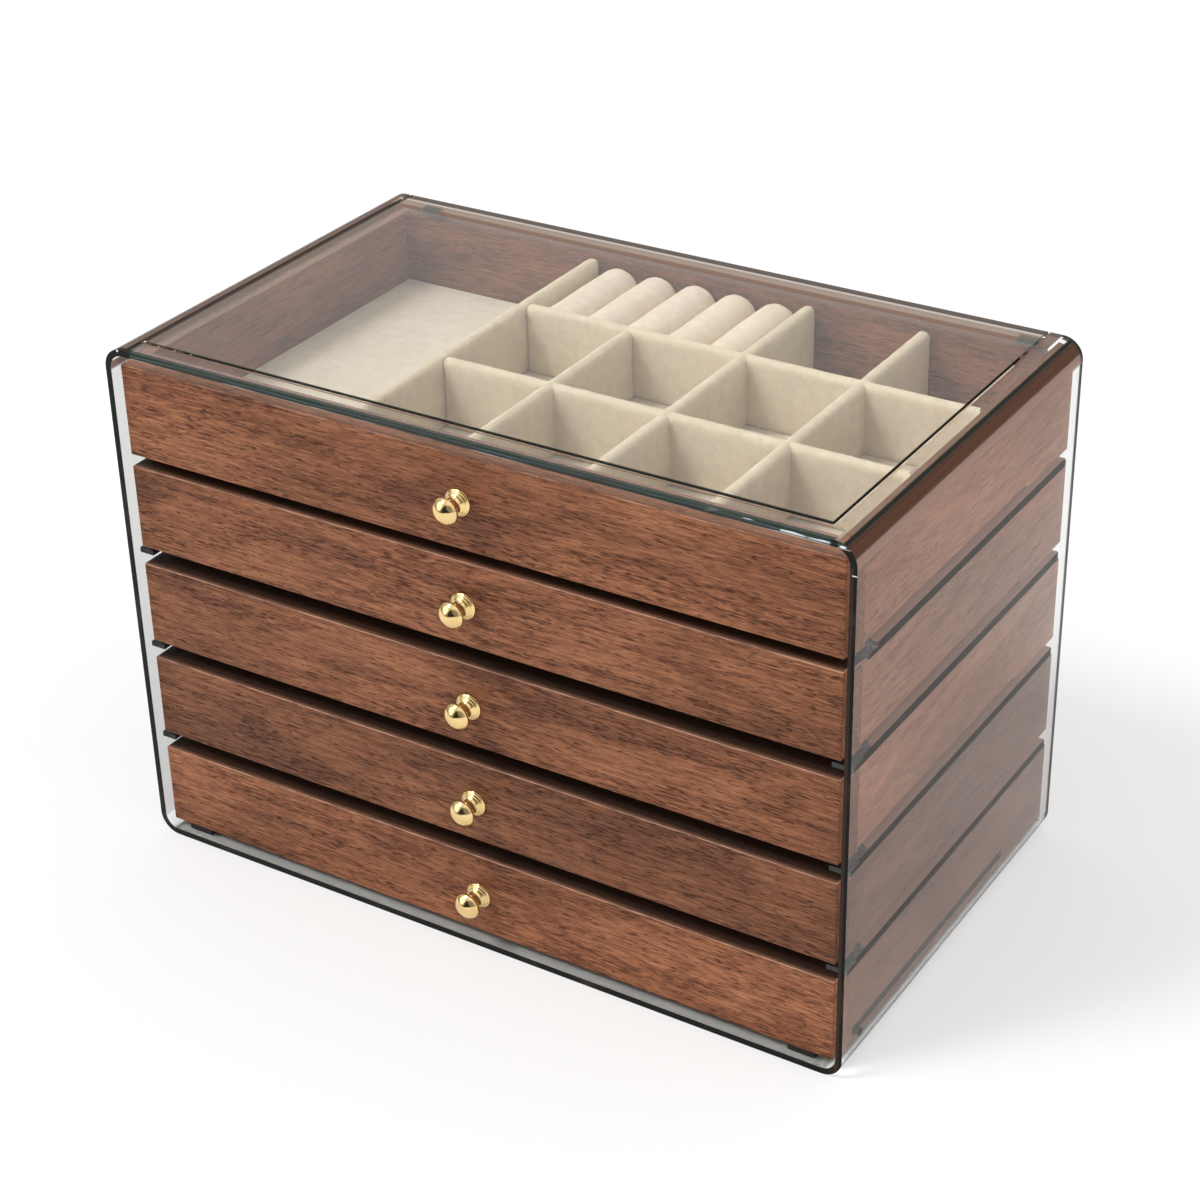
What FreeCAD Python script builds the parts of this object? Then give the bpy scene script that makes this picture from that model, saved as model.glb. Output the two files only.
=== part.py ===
import FreeCAD, Part
import math
import os
import re
import Sketcher

# A jewelry box of five walnut drawers in a clear bent shell.
# The shell is one wrap-around sheet, open at the front and at the back. A panel
# cut out of its top is a hinged lid over the velvet-lined top drawer.
# Frame: X to the right, -Y to the front, +Z up. The origin is the centre of the
# shell's underside. Drawer 1 is the top one. All sizes are in millimetres.

# Driving sizes: alias, value and note. A value that starts with = is worked out.
SIZES = [
    ("case_width", "300", "shell outside, left to right"),
    ("case_depth", "174", "shell, front edge to back edge"),
    ("wall", "2.5", "thickness of the clear sheet"),
    ("bend_radius", "8", "outside radius of the four bent corners"),
    ("lid_left_inset", "10.4", "lid's left edge in from the shell's left face"),
    ("lid_right_inset", "13.6", "lid's right edge in from the shell's right face"),
    ("lid_front_inset", "9.6", "lid edge in from the shell's front edge"),
    ("lid_slit", "0.8", "cut between the lid and the frame round it"),
    ("hinge_setback", "3.2", "hinge axis in from the back edge"),
    ("hinge_pin_radius", "0.6", "lid hinge pin"),
    ("hinge_fit", "0.05", "radial play of the hinge pin in the lid"),
    ("hinge_pin_in_frame", "3", "length of pin held in the shell"),
    ("hinge_pin_in_lid", "4", "length of pin inside the lid"),
    ("lid_block_length", "8.5", "block under the lid, along the hinge"),
    ("lid_block_width", "3.2", "block under the lid, front to back"),
    ("lid_block_height", "2.4", "block under the lid, downwards"),
    ("lid_block_left_inset", "10.9", "left block in from the lid's left edge"),
    ("lid_block_right_inset", "0.3", "right block in from the lid's right edge"),
    ("lid_block_setback", "1", "block in front of the hinge axis"),
    ("front_recess", "2.4", "drawer fronts behind the shell's front edge"),
    ("back_recess", "1", "drawer backs in front of the shell's back edge"),
    ("side_gap", "2.3", "air between the shell and a drawer's side"),
    ("top_gap", "4.6", "air between the top drawer's rim and the lid"),
    ("drawer_height", "33.4", "height of each of the four lower drawers"),
    ("top_drawer_height", "35.9", "height of the top drawer"),
    ("drawer_gap", "7.2", "air between the lower drawers"),
    ("top_drawer_gap", "4.6", "air between the top drawer and the next"),
    ("drawer_travel", "120", "how far each drawer pulls out"),
    ("running_gap", "0.2", "play between a drawer and what it slides on"),
    ("front_board", "10", "thickness of a drawer front"),
    ("side_board", "6.6", "thickness of a drawer side"),
    ("back_board", "5", "thickness of a drawer back"),
    ("bottom_board", "3", "thickness of a drawer bottom"),
    ("bottom_rise", "2.5", "drawer bottom above the drawer's lower edge"),
    ("groove_depth", "3", "how deep the bottom sits in its grooves"),
    ("groove_fit", "0.1", "play of the bottom in its grooves"),
    ("lining", "2.5", "thickness of the velvet floor pad"),
    ("lining_gap", "0.3", "floor pad in from the drawer's walls"),
    ("edge_ease", "0.5", "rounding of a drawer front's edges"),
    ("rail_width", "6.2", "drawer rail, out from the wall"),
    ("rail_thickness", "3.4", "drawer rail"),
    ("rail_front_setback", "3.6", "rail's front end behind the shell's front edge"),
    ("top_rail_setback", "12", "the same for the top drawer's rail"),
    ("rail_lead_length", "6", "low front end of a rail, to start a drawer on"),
    ("rail_lead_drop", "1.5", "that end below the rail's top"),
    ("rail_back_setback", "8", "rail's back end in front of the shell's back edge"),
    ("stop_pin_radius", "1.5", "pin that stops a drawer"),
    ("stop_pin_setback", "15", "stop pin behind the shell's front edge"),
    ("stop_pin_offset", "2.5", "upright stop pin's axis out from the wall"),
    ("stop_pin_rise", "1.4", "upright stop pin above its rail"),
    ("stop_pin_reach", "3.8", "level stop pin out from the wall"),
    ("stop_pin_lift", "5.3", "level stop pin above the lowest drawer's lower edge"),
    ("stop_fit", "0.3", "play round a stop pin in its groove"),
    ("pad_height", "2.5", "glide pad under the lowest drawer"),
    ("pad_width", "10.5", "glide pad, left to right"),
    ("pad_length", "12", "glide pad, front to back"),
    ("pad_side_inset", "12", "glide pad in from the shell's side face"),
    ("pad_front_inset", "3", "front glide pads behind the shell's front edge"),
    ("pad_back_inset", "7", "back glide pads in front of the shell's back edge"),
    ("lower_knob_drop", "0.7", "knobs 2 to 5 below the middle of their fronts"),
    ("knob_base_radius", "5.1", "knob's foot on the wood"),
    ("knob_base_edge", "0.5", "straight edge of the knob's foot"),
    ("knob_neck_radius", "2.3", "knob's neck"),
    ("knob_neck_start", "2.8", "start of the neck, out from the wood"),
    ("knob_neck_end", "5.6", "end of the neck, out from the wood"),
    ("knob_head_radius", "5.2", "knob's head"),
    ("knob_head_rim", "8", "widest place of the head, out from the wood"),
    ("knob_reach", "11.2", "tip of the knob, out from the wood"),
    ("knob_bore_radius", "1.5", "screw bore in the knob"),
    ("knob_bore_depth", "6", "depth of that bore"),
    ("screw_fit", "0.05", "radial play of the screw in the knob"),
    ("screw_end_gap", "0.5", "bore left empty past the screw's end"),
    ("screw_hole_radius", "1.8", "hole for the screw in the drawer front"),
    ("screw_head_radius", "2.9", "screw head"),
    ("screw_head_height", "2.1", "screw head"),
    ("screw_slot_width", "0.8", "slot across the screw head"),
    ("screw_slot_depth", "0.9", "slot across the screw head"),
    ("counterbore_radius", "3.3", "recess for the screw head"),
    ("counterbore_depth", "2.5", "recess for the screw head"),
    ("divider", "5", "thickness of a velvet-covered divider"),
    ("divider_drop", "0.9", "divider tops below the top drawer's rim"),
    ("divider_fit", "0.1", "play at a divider's ends and crossings"),
    ("left_bay", "87.1", "clear width of the open bay on the left"),
    ("front_row", "49", "clear depth of the front row of cells"),
    ("middle_row", "49", "clear depth of the middle row of cells"),
    ("roll_width", "16.9", "ring roll"),
    ("roll_pitch", "17.2", "ring roll to ring roll"),
    ("roll_drop", "1.7", "ring rolls below the divider tops"),
    ("roll_end_gap", "0.5", "air at each end of a ring roll"),
    ("roll_crown", "0.9", "how much a ring roll's ends are drawn in"),
    ("front_y", "=-case_depth / 2", "shell's front edge"),
    ("back_y", "=case_depth / 2", "shell's back edge"),
    ("lift_5", "=wall + pad_height + running_gap", "lower edge of drawer 5"),
    ("lift_4", "=lift_5 + drawer_height + drawer_gap", "lower edge of drawer 4"),
    ("lift_3", "=lift_4 + drawer_height + drawer_gap", "lower edge of drawer 3"),
    ("lift_2", "=lift_3 + drawer_height + drawer_gap", "lower edge of drawer 2"),
    ("lift_1", "=lift_2 + drawer_height + top_drawer_gap", "lower edge of drawer 1"),
    ("rim_z", "=lift_1 + top_drawer_height", "top drawer's rim"),
    ("case_height", "=rim_z + top_gap + wall", "shell outside, bottom to top"),
    ("lid_left_x", "=lid_left_inset - case_width / 2", "lid's left edge"),
    ("lid_right_x", "=case_width / 2 - lid_right_inset", "lid's right edge"),
    ("lid_width", "=lid_right_x - lid_left_x", "lid, left to right"),
    ("lid_depth", "=case_depth - lid_front_inset", "lid, front to back"),
    ("hinge_y", "=back_y - hinge_setback", "lid hinge axis"),
    ("hinge_z", "=case_height - wall / 2", "lid hinge axis"),
    ("drawer_width", "=case_width - 2 * (wall + side_gap)", "drawer outside"),
    ("face_y", "=front_y + front_recess", "outer face of the drawer fronts"),
    ("inner_y", "=face_y + front_board", "inner face of the drawer fronts"),
    ("rear_y", "=back_y - back_recess", "outer face of the drawer backs"),
    ("inside_width", "=drawer_width - 2 * side_board", "drawer inside"),
    ("inside_depth", "=rear_y - back_board - inner_y", "drawer inside"),
    ("floor_rise", "=bottom_rise + bottom_board + lining", "floor above the edge"),
    ("floor_z", "=lift_1 + floor_rise", "top drawer's velvet floor"),
    ("divider_top", "=rim_z - divider_drop", "tops of the dividers"),
    ("divider_height", "=divider_top - floor_z", "height of the dividers"),
    ("main_x", "=left_bay - inside_width / 2", "left face of the main divider"),
    ("cells_x", "=main_x + divider", "left end of the cells"),
    ("cells_width", "=inside_width / 2 - cells_x", "width of the cells together"),
    ("column_pitch", "=(cells_width + divider / 2) / 4", "divider to divider"),
    ("cross_2_y", "=inner_y + front_row", "front face of the front cross divider"),
    ("cross_1_y", "=cross_2_y + divider + middle_row", "front face of the back one"),
]
ALIASES = [alias for alias, value, note in SIZES]
DRAWERS = (1, 2, 3, 4, 5)

doc = FreeCAD.newDocument("jewelry_box")
sheet = doc.addObject("Spreadsheet::Sheet", "sizes")
nodes = []


def fill_sheet():
    """One row for each size: its note, its value and its alias."""
    for row, (alias, value, note) in enumerate(SIZES, start=1):
        sheet.set("A%d" % row, note)
        sheet.set("B%d" % row, value)
        sheet.setAlias("B%d" % row, alias)
    doc.recompute()


def mm(formula):
    """The value of a formula in sheet aliases."""
    known = {alias: float(getattr(sheet, alias)) for alias in ALIASES if alias in formula}
    return FreeCAD.Units.parseQuantity(
        re.sub(r"[a-z][a-z_0-9]+", lambda word: "%.9f" % known[word.group(0)], formula)
    ).Value


def bind(item, prop, formula):
    """Binds a property to a formula in sheet aliases."""
    item.setExpression(prop, re.sub(r"([a-z][a-z_0-9]+)", r"sizes.\1", formula))


def keep(label, item):
    """Names an object as a piece of the box, which names its file too."""
    item.Label = label
    nodes.append(item)
    return item


def place(item, prop, at):
    """Binds the three coordinates of a placement."""
    for axis, formula in zip("xyz", at):
        bind(item, "%s.Base.%s" % (prop, axis), formula)


def box(name, size, at):
    """A box: its three lengths and its lowest corner."""
    item = doc.addObject("Part::Box", name)
    for prop, formula in zip(("Length", "Width", "Height"), size):
        bind(item, prop, formula)
    place(item, ".Placement", at)
    return item


TURNS = {
    "x": FreeCAD.Rotation(FreeCAD.Vector(0, 1, 0), 90),
    "y": FreeCAD.Rotation(FreeCAD.Vector(1, 0, 0), -90),
    "z": FreeCAD.Rotation(),
}


def rod(name, radius, length, at, along):
    """A cylinder from a point along +X, +Y or +Z."""
    item = doc.addObject("Part::Cylinder", name)
    bind(item, "Radius", radius)
    bind(item, "Height", length)
    item.Placement = FreeCAD.Placement(FreeCAD.Vector(), TURNS[along])
    place(item, ".Placement", at)
    return item


def cut(name, base, *tools):
    """A base less each tool in turn."""
    for number, tool in enumerate(tools, start=1):
        item = doc.addObject("Part::Cut", "%s_cut_%d" % (name, number))
        item.Base = base
        item.Tool = tool
        base = item
    return base


def fuse(name, first, second):
    """Two shapes as one solid."""
    item = doc.addObject("Part::Fuse", name)
    item.Base = first
    item.Tool = second
    item.Refine = True
    return item


def group(label, items):
    """Like pieces that share a node, each its own solid."""
    item = doc.addObject("Part::Compound", label)
    item.Links = items
    return keep(label, item)


def sketch_on(body, name, plane, at):
    """An empty sketch on one of the body's origin planes, moved by its offset."""
    role = plane + "_Plane"
    found = [feature for feature in body.Origin.OriginFeatures if feature.Role == role]
    item = body.newObject("Sketcher::SketchObject", name)
    item.AttachmentSupport = [(found[0], "")]
    item.MapMode = "FlatFace"
    place(item, "AttachmentOffset", at)
    doc.recompute()
    return item


def limit(sketch, kind, first, second, name, formula):
    """A named distance between two sketch points, bound to a formula."""
    number = sketch.addConstraint(_constraint(kind, first, second, mm(formula)))
    sketch.renameConstraint(number, name)
    bind(sketch, "Constraints." + name, formula)


def _constraint(kind, first, second, value):
    return Sketcher.Constraint(kind, *first, *second, value)


def rectangle(body, name, plane, at, width, height):
    """A rectangle whose first corner is the sketch's origin."""
    sketch = sketch_on(body, name, plane, at)
    wide = mm(width)
    high = mm(height)
    corners = [
        FreeCAD.Vector(0, 0, 0),
        FreeCAD.Vector(wide, 0, 0),
        FreeCAD.Vector(wide, high, 0),
        FreeCAD.Vector(0, high, 0),
    ]
    for number in range(4):
        sketch.addGeometry(Part.LineSegment(corners[number], corners[(number + 1) % 4]))
    for number in range(4):
        following = (number + 1) % 4
        sketch.addConstraint(Sketcher.Constraint("Coincident", number, 2, following, 1))
        direction = ("Horizontal", "Vertical")[number % 2]
        sketch.addConstraint(Sketcher.Constraint(direction, number))
    sketch.addConstraint(Sketcher.Constraint("Coincident", 0, 1, -1, 1))
    limit(sketch, "DistanceX", (0, 1), (0, 2), "width", width)
    limit(sketch, "DistanceY", (1, 1), (1, 2), "height", height)
    return sketch


def circle(body, name, plane, at, radius):
    """A circle round the sketch's origin."""
    sketch = sketch_on(body, name, plane, at)
    middle = FreeCAD.Vector(0, 0, 0)
    sketch.addGeometry(Part.Circle(middle, FreeCAD.Vector(0, 0, 1), mm(radius)))
    sketch.addConstraint(Sketcher.Constraint("Coincident", 0, 3, -1, 1))
    number = sketch.addConstraint(Sketcher.Constraint("Radius", 0, mm(radius)))
    sketch.renameConstraint(number, "radius")
    bind(sketch, "Constraints.radius", radius)
    return sketch


def pad(body, name, sketch, length, reverse=False):
    """A sketch raised into a solid."""
    item = body.newObject("PartDesign::Pad", name)
    item.Profile = sketch
    item.Reversed = reverse
    bind(item, "Length", length)
    doc.recompute()
    return item


def pocket(body, name, sketch, length, reverse=False, middle=False):
    """A sketch cut into the body; it must take something away."""
    before = body.Shape.Volume
    item = body.newObject("PartDesign::Pocket", name)
    item.Profile = sketch
    item.Reversed = reverse
    item.Midplane = middle
    bind(item, "Length", length)
    doc.recompute()
    if body.Shape.Volume > before - 1e-6:
        raise RuntimeError(name + " cuts nothing")
    return item


def round_edges(body, name, radius, chosen):
    """A fillet on the edges of the body that pass a test."""
    base = body.Tip
    edges = [
        "Edge%d" % number
        for number, edge in enumerate(base.Shape.Edges, start=1)
        if chosen(edge)
    ]
    item = body.newObject("PartDesign::Fillet", name)
    item.Base = (base, edges)
    bind(item, "Radius", radius)
    doc.recompute()
    return item


def runs_along(edge, axis):
    """True for a straight edge along X, Y or Z."""
    if not isinstance(edge.Curve, (Part.Line, Part.LineSegment)):
        return False
    direction = edge.Vertexes[-1].Point - edge.Vertexes[0].Point
    direction.normalize()
    return abs(abs(getattr(direction, axis)) - 1) < 1e-6


def mirrored_pair(name, make):
    """The same piece made on the left and on the right."""
    return [make("%s_left" % name, -1), make("%s_right" % name, 1)]


def from_side(side, inset, width):
    """Lowest X of a thing this far in from the case's side and this wide."""
    if side < 0:
        return "%s - case_width / 2" % inset
    return "case_width / 2 - (%s) - (%s)" % (inset, width)


def make_shell():
    """The bent sheet: a tube along Y, with the lid's opening in its top."""
    body = doc.addObject("PartDesign::Body", "shell_body")
    outside = rectangle(
        body, "shell_outside", "XZ", ("-case_width / 2", "0", "-back_y"),
        "case_width", "case_height",
    )
    pad(body, "shell_block", outside, "case_depth")
    round_edges(body, "shell_bends", "bend_radius", lambda edge: runs_along(edge, "y"))
    corners_before = len(body.Shape.Edges)
    inside = rectangle(
        body, "shell_inside", "XZ", ("wall - case_width / 2", "wall", "-back_y"),
        "case_width - 2 * wall", "case_height - 2 * wall",
    )
    pocket(body, "shell_hollow", inside, "case_depth", reverse=True)
    if len(body.Shape.Edges) <= corners_before:
        raise RuntimeError("the shell has no hollow")
    inner_x = mm("case_width / 2 - wall")
    round_edges(
        body, "shell_inner_bends", "bend_radius - wall",
        lambda edge: runs_along(edge, "y")
        and abs(abs(edge.Vertexes[0].X) - inner_x) < 1e-4
        and _is_inner_height(edge.Vertexes[0].Z),
    )
    opening = rectangle(
        body, "lid_opening", "XY",
        ("lid_left_x - lid_slit", "front_y + lid_front_inset - lid_slit",
         "case_height / 2"),
        "lid_width + 2 * lid_slit", "lid_depth + lid_slit + wall",
    )
    pocket(body, "lid_cut", opening, "case_height", reverse=True)
    bores = circle(
        body, "frame_bore", "YZ", ("hinge_y", "hinge_z", "(lid_left_x + lid_right_x) / 2"),
        "hinge_pin_radius",
    )
    pocket(
        body, "hinge_bores", bores,
        "lid_width + 2 * (lid_slit + hinge_pin_in_frame)", middle=True,
    )
    keep("acrylic_shell", body)


def _is_inner_height(z):
    return min(abs(z - mm("wall")), abs(z - mm("case_height - wall"))) < 1e-4


def make_lid():
    """The flat panel that fills the opening, with a hinge bore in each side edge."""
    body = doc.addObject("PartDesign::Body", "lid_body")
    outline = rectangle(
        body, "lid_outline", "XY",
        ("lid_left_x", "front_y + lid_front_inset", "case_height - wall"),
        "lid_width", "lid_depth",
    )
    pad(body, "lid_panel", outline, "wall")
    for side in (-1, 1):
        start = "lid_right_x" if side > 0 else "lid_left_x"
        bore = circle(
            body, "lid_bore_%d" % (side + 2), "YZ", ("hinge_y", "hinge_z", start),
            "hinge_pin_radius + hinge_fit",
        )
        pocket(
            body, "lid_socket_%d" % (side + 2), bore,
            "hinge_pin_in_lid + hinge_fit", reverse=side < 0,
        )
    keep("top_lid", body)
    length = "hinge_pin_in_frame + lid_slit + hinge_pin_in_lid"
    insets = {-1: "lid_left_inset", 1: "lid_right_inset"}
    group("lid_hinge_pins", mirrored_pair("hinge_pin", lambda name, side: rod(
        name, "hinge_pin_radius", length,
        (from_side(side, insets[side] + " - lid_slit - hinge_pin_in_frame", length),
         "hinge_y", "hinge_z"), "x",
    )))
    block_insets = {-1: "lid_block_left_inset", 1: "lid_block_right_inset"}
    group("lid_blocks", mirrored_pair("lid_block", lambda name, side: box(
        name, ("lid_block_length", "lid_block_width", "lid_block_height"),
        (from_side(side, "%s + %s" % (insets[side], block_insets[side]),
                   "lid_block_length"),
         "hinge_y - lid_block_setback - lid_block_width",
         "case_height - wall - lid_block_height"),
    )))


def make_rails():
    """The strips on the walls under drawers 1 to 4 and the pins that stop them."""
    for side, hand in ((-1, "left"), (1, "right")):
        rails = []
        pins = []
        pin_x = "%s * (case_width / 2 - wall - stop_pin_offset)" % side
        pin_y = "front_y + stop_pin_setback"
        for number in DRAWERS[:-1]:
            foot = "lift_%d - running_gap - rail_thickness" % number
            setback = "top_rail_setback" if number == 1 else "rail_front_setback"
            rail_x = from_side(side, "wall", "rail_width")
            strip = box(
                "%s_strip_%d" % (hand, number),
                ("rail_width", "case_depth - %s - rail_back_setback" % setback,
                 "rail_thickness"),
                (rail_x, "front_y + %s" % setback, foot),
            )
            lead = box(
                "%s_lead_%d" % (hand, number),
                ("rail_width", "rail_lead_length", "rail_lead_drop"),
                (rail_x, "front_y + %s" % setback,
                 "lift_%d - running_gap - rail_lead_drop" % number),
            )
            hole = rod(
                "%s_pin_hole_%d" % (hand, number), "stop_pin_radius",
                "rail_thickness", (pin_x, pin_y, foot), "z",
            )
            rails.append(cut("%s_rail_%d" % (hand, number), strip, lead, hole))
            pins.append(rod(
                "%s_pin_%d" % (hand, number), "stop_pin_radius",
                "rail_thickness + stop_pin_rise", (pin_x, pin_y, foot), "z",
            ))
        pins.append(rod(
            "%s_pin_5" % hand, "stop_pin_radius", "stop_pin_reach",
            (from_side(side, "wall", "stop_pin_reach"), pin_y,
             "lift_5 + stop_pin_lift"), "x",
        ))
        group("%s_rails" % hand, rails)
        group("%s_stop_pins" % hand, pins)


def make_pads():
    """The pads on the shell's floor that the lowest drawer glides on."""
    pads = []
    size = ("pad_width", "pad_length", "pad_height")
    for place_name, y in (
        ("front", "front_y + pad_front_inset"),
        ("back", "back_y - pad_back_inset - pad_length"),
    ):
        pads += mirrored_pair("%s_pad" % place_name, lambda name, side: box(
            name, size, (from_side(side, "pad_side_inset", "pad_width"), y, "wall"),
        ))
    group("glide_pads", pads)


def knob_level(number, lift, height):
    """Height of a knob's axis: the middle of the front, but lower on drawers 2 to 5."""
    middle = "%s + %s / 2" % (lift, height)
    return middle if number == 1 else middle + " - lower_knob_drop"


def make_front(number, lift, height):
    """A drawer front: eased edges, a groove for the bottom and the screw's hole."""
    name = "drawer_%d_front" % number
    knob_z = knob_level(number, lift, height)
    body = doc.addObject("PartDesign::Body", name + "_body")
    outline = rectangle(
        body, name + "_outline", "XZ", ("-drawer_width / 2", lift, "-face_y"),
        "drawer_width", height,
    )
    pad(body, name + "_board", outline, "front_board", reverse=True)
    front = mm("face_y")
    round_edges(
        body, name + "_eased", "edge_ease",
        lambda edge: runs_along(edge, "y")
        or max(abs(vertex.Y - front) for vertex in edge.Vertexes) < 1e-4,
    )
    groove = rectangle(
        body, name + "_groove", "XZ",
        ("-inside_width / 2 - groove_depth", "%s + bottom_rise" % lift, "-inner_y"),
        "inside_width + 2 * groove_depth", "bottom_board + groove_fit",
    )
    pocket(body, name + "_groove_cut", groove, "groove_depth", reverse=True)
    hole = circle(
        body, name + "_hole", "XZ", ("0", knob_z, "-inner_y"), "screw_hole_radius"
    )
    pocket(body, name + "_hole_cut", hole, "front_board", reverse=True)
    recess = circle(
        body, name + "_recess", "XZ", ("0", knob_z, "-inner_y"), "counterbore_radius"
    )
    pocket(body, name + "_recess_cut", recess, "counterbore_depth", reverse=True)
    keep(name, body)


def make_sides(number, lift, height):
    """Both sides: a groove for the bottom inside, and outside one for the stop pin."""
    depth = "rear_y - inner_y"
    pin_y = "front_y + stop_pin_setback"
    start = "%s - stop_pin_radius - stop_fit" % pin_y
    run = "drawer_travel + 2 * (stop_pin_radius + stop_fit)"
    for side, hand in ((-1, "left"), (1, "right")):
        name = "drawer_%d_%s_side" % (number, hand)
        edge = "wall + side_gap"
        board = box(
            name + "_board", ("side_board", depth, height),
            (from_side(side, edge, "side_board"), "inner_y", lift),
        )
        groove = box(
            name + "_groove", ("groove_depth", depth, "bottom_board + groove_fit"),
            (from_side(side, edge + " + side_board - groove_depth", "groove_depth"),
             "inner_y", "%s + bottom_rise" % lift),
        )
        if number < DRAWERS[-1]:
            width = "stop_pin_offset + stop_pin_radius + stop_fit - side_gap"
            channel = box(
                name + "_channel", (width, run, "stop_pin_rise + stop_fit"),
                (from_side(side, edge, width), start, "%s - running_gap" % lift),
            )
        else:
            width = "stop_pin_reach + stop_fit - side_gap"
            channel = box(
                name + "_channel", (width, run, "2 * (stop_pin_radius + stop_fit)"),
                (from_side(side, edge, width), start,
                 "%s + stop_pin_lift - stop_pin_radius - stop_fit" % lift),
            )
        keep(name, cut(name, board, groove, channel))


def make_back_and_bottom(number, lift, height):
    """The back between the sides, the bottom in its grooves and the floor pad."""
    name = "drawer_%d" % number
    back = box(
        name + "_back_board", ("inside_width", "back_board", height),
        ("-inside_width / 2", "rear_y - back_board", lift),
    )
    groove = box(
        name + "_back_groove",
        ("inside_width", "groove_depth", "bottom_board + groove_fit"),
        ("-inside_width / 2", "rear_y - back_board", "%s + bottom_rise" % lift),
    )
    keep(name + "_back", cut(name + "_back", back, groove))
    spread = "groove_depth - groove_fit"
    keep(name + "_bottom", box(
        name + "_bottom",
        ("inside_width + 2 * (%s)" % spread, "inside_depth + 2 * (%s)" % spread,
         "bottom_board"),
        ("-inside_width / 2 - (%s)" % spread, "inner_y - (%s)" % spread,
         "%s + bottom_rise" % lift),
    ))
    keep(name + "_floor_pad", box(
        name + "_floor_pad",
        ("inside_width - 2 * lining_gap", "inside_depth - 2 * lining_gap", "lining"),
        ("lining_gap - inside_width / 2", "inner_y + lining_gap",
         "%s + bottom_rise + bottom_board" % lift),
    ))


def knob_profile(sketch):
    """Half of the knob's outline: foot dome, neck, rounded head and the bore."""
    bore = mm("knob_bore_radius")
    deep = mm("knob_bore_depth")
    tip = mm("knob_reach")
    rim = mm("knob_head_rim")
    head = mm("knob_head_radius")
    neck = mm("knob_neck_radius")
    neck_start = mm("knob_neck_start")
    neck_end = mm("knob_neck_end")
    foot = mm("knob_base_radius")
    edge = mm("knob_base_edge")
    corners = [
        (0, bore), (deep, bore), (deep, 0), (tip, 0), (rim, head),
        (neck_end, neck), (neck_start, neck), (edge, foot), (0, foot),
    ]
    # Centres: the two domes on the axis, the head's underside level with the rim.
    tip_centre = (tip * tip - rim * rim - head * head) / (2 * (tip - rim))
    back_centre = (head**2 - neck**2 - (rim - neck_end) ** 2) / (2 * (head - neck))
    foot_centre = (neck_start**2 + neck**2 - edge**2 - foot**2) / (2 * (neck_start - edge))
    arcs = {3: (tip_centre, 0), 4: (rim, back_centre), 6: (foot_centre, 0)}
    points = [FreeCAD.Vector(-out, up, 0) for out, up in corners]
    for number, start in enumerate(points):
        end = points[(number + 1) % len(points)]
        if number in arcs:
            centre = FreeCAD.Vector(-arcs[number][0], arcs[number][1], 0)
            sketch.addGeometry(_arc(centre, start, end))
        else:
            sketch.addGeometry(Part.LineSegment(start, end))
    ends = {number: (2, 1) if number in arcs else (1, 2) for number in range(len(points))}
    for number in range(len(points)):
        following = (number + 1) % len(points)
        sketch.addConstraint(Sketcher.Constraint(
            "Coincident", number, ends[number][1], following, ends[following][0]
        ))
    for number, out, up in (
        (0, None, "knob_bore_radius"), (1, "knob_bore_depth", None),
        (3, "knob_reach", None), (4, "knob_head_rim", "knob_head_radius"),
        (5, "knob_neck_end", "knob_neck_radius"), (6, "knob_neck_start", None),
        (7, "knob_base_edge", "knob_base_radius"),
    ):
        spot = (number, ends[number][0])
        if out:
            limit(sketch, "DistanceX", spot, (-1, 1), "out_%d" % number, out)
        if up:
            limit(sketch, "DistanceY", (-1, 1), spot, "up_%d" % number, up)
    for number in (0, 5, 7):
        sketch.addConstraint(Sketcher.Constraint("Horizontal", number))
    for number in (1, 8):
        sketch.addConstraint(Sketcher.Constraint("Vertical", number))
    sketch.addConstraint(Sketcher.Constraint("Horizontal", 2))
    sketch.addConstraint(Sketcher.Constraint("PointOnObject", 2, 1, -1))
    sketch.addConstraint(Sketcher.Constraint("PointOnObject", 8, 1, -2))
    sketch.addConstraint(Sketcher.Constraint("PointOnObject", 3, 3, -1))
    sketch.addConstraint(Sketcher.Constraint("PointOnObject", 6, 3, -1))
    limit(sketch, "DistanceX", (4, 3), (-1, 1), "back_centre", "knob_head_rim")


def _arc(centre, start, end):
    """The arc from start round to end about a centre, clockwise in the sketch."""
    first = math.atan2(end.y - centre.y, end.x - centre.x)
    last = math.atan2(start.y - centre.y, start.x - centre.x)
    if last < first:
        last += 2 * math.pi
    return Part.ArcOfCircle(
        Part.Circle(centre, FreeCAD.Vector(0, 0, 1), (start - centre).Length), first, last
    )


def make_knob(number, lift, height):
    """A turned knob and the screw that holds it from inside the drawer."""
    name = "drawer_%d_knob" % number
    knob_z = knob_level(number, lift, height)
    body = doc.addObject("PartDesign::Body", name + "_body")
    sketch = sketch_on(body, name + "_profile", "YZ", ("face_y", knob_z, "0"))
    knob_profile(sketch)
    turned = body.newObject("PartDesign::Revolution", name + "_turned")
    turned.Profile = sketch
    turned.ReferenceAxis = (sketch, ["H_Axis"])
    turned.Angle = 360
    doc.recompute()
    keep(name, body)
    seat = "inner_y - counterbore_depth"
    reach = "front_board - counterbore_depth + knob_bore_depth - screw_end_gap"
    shank = rod(
        name + "_shank", "knob_bore_radius - screw_fit", reach,
        ("0", "%s - (%s)" % (seat, reach), knob_z), "y",
    )
    head = rod(
        name + "_head", "screw_head_radius", "screw_head_height",
        ("0", seat, knob_z), "y",
    )
    slot = box(
        name + "_slot",
        ("2 * screw_head_radius", "screw_slot_depth", "screw_slot_width"),
        ("-screw_head_radius", "%s + screw_head_height - screw_slot_depth" % seat,
         "%s - screw_slot_width / 2" % knob_z),
    )
    screw = fuse(name + "_blank", shank, head)
    keep("drawer_%d_knob_screw" % number, cut(name + "_screw", screw, slot))


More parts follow.
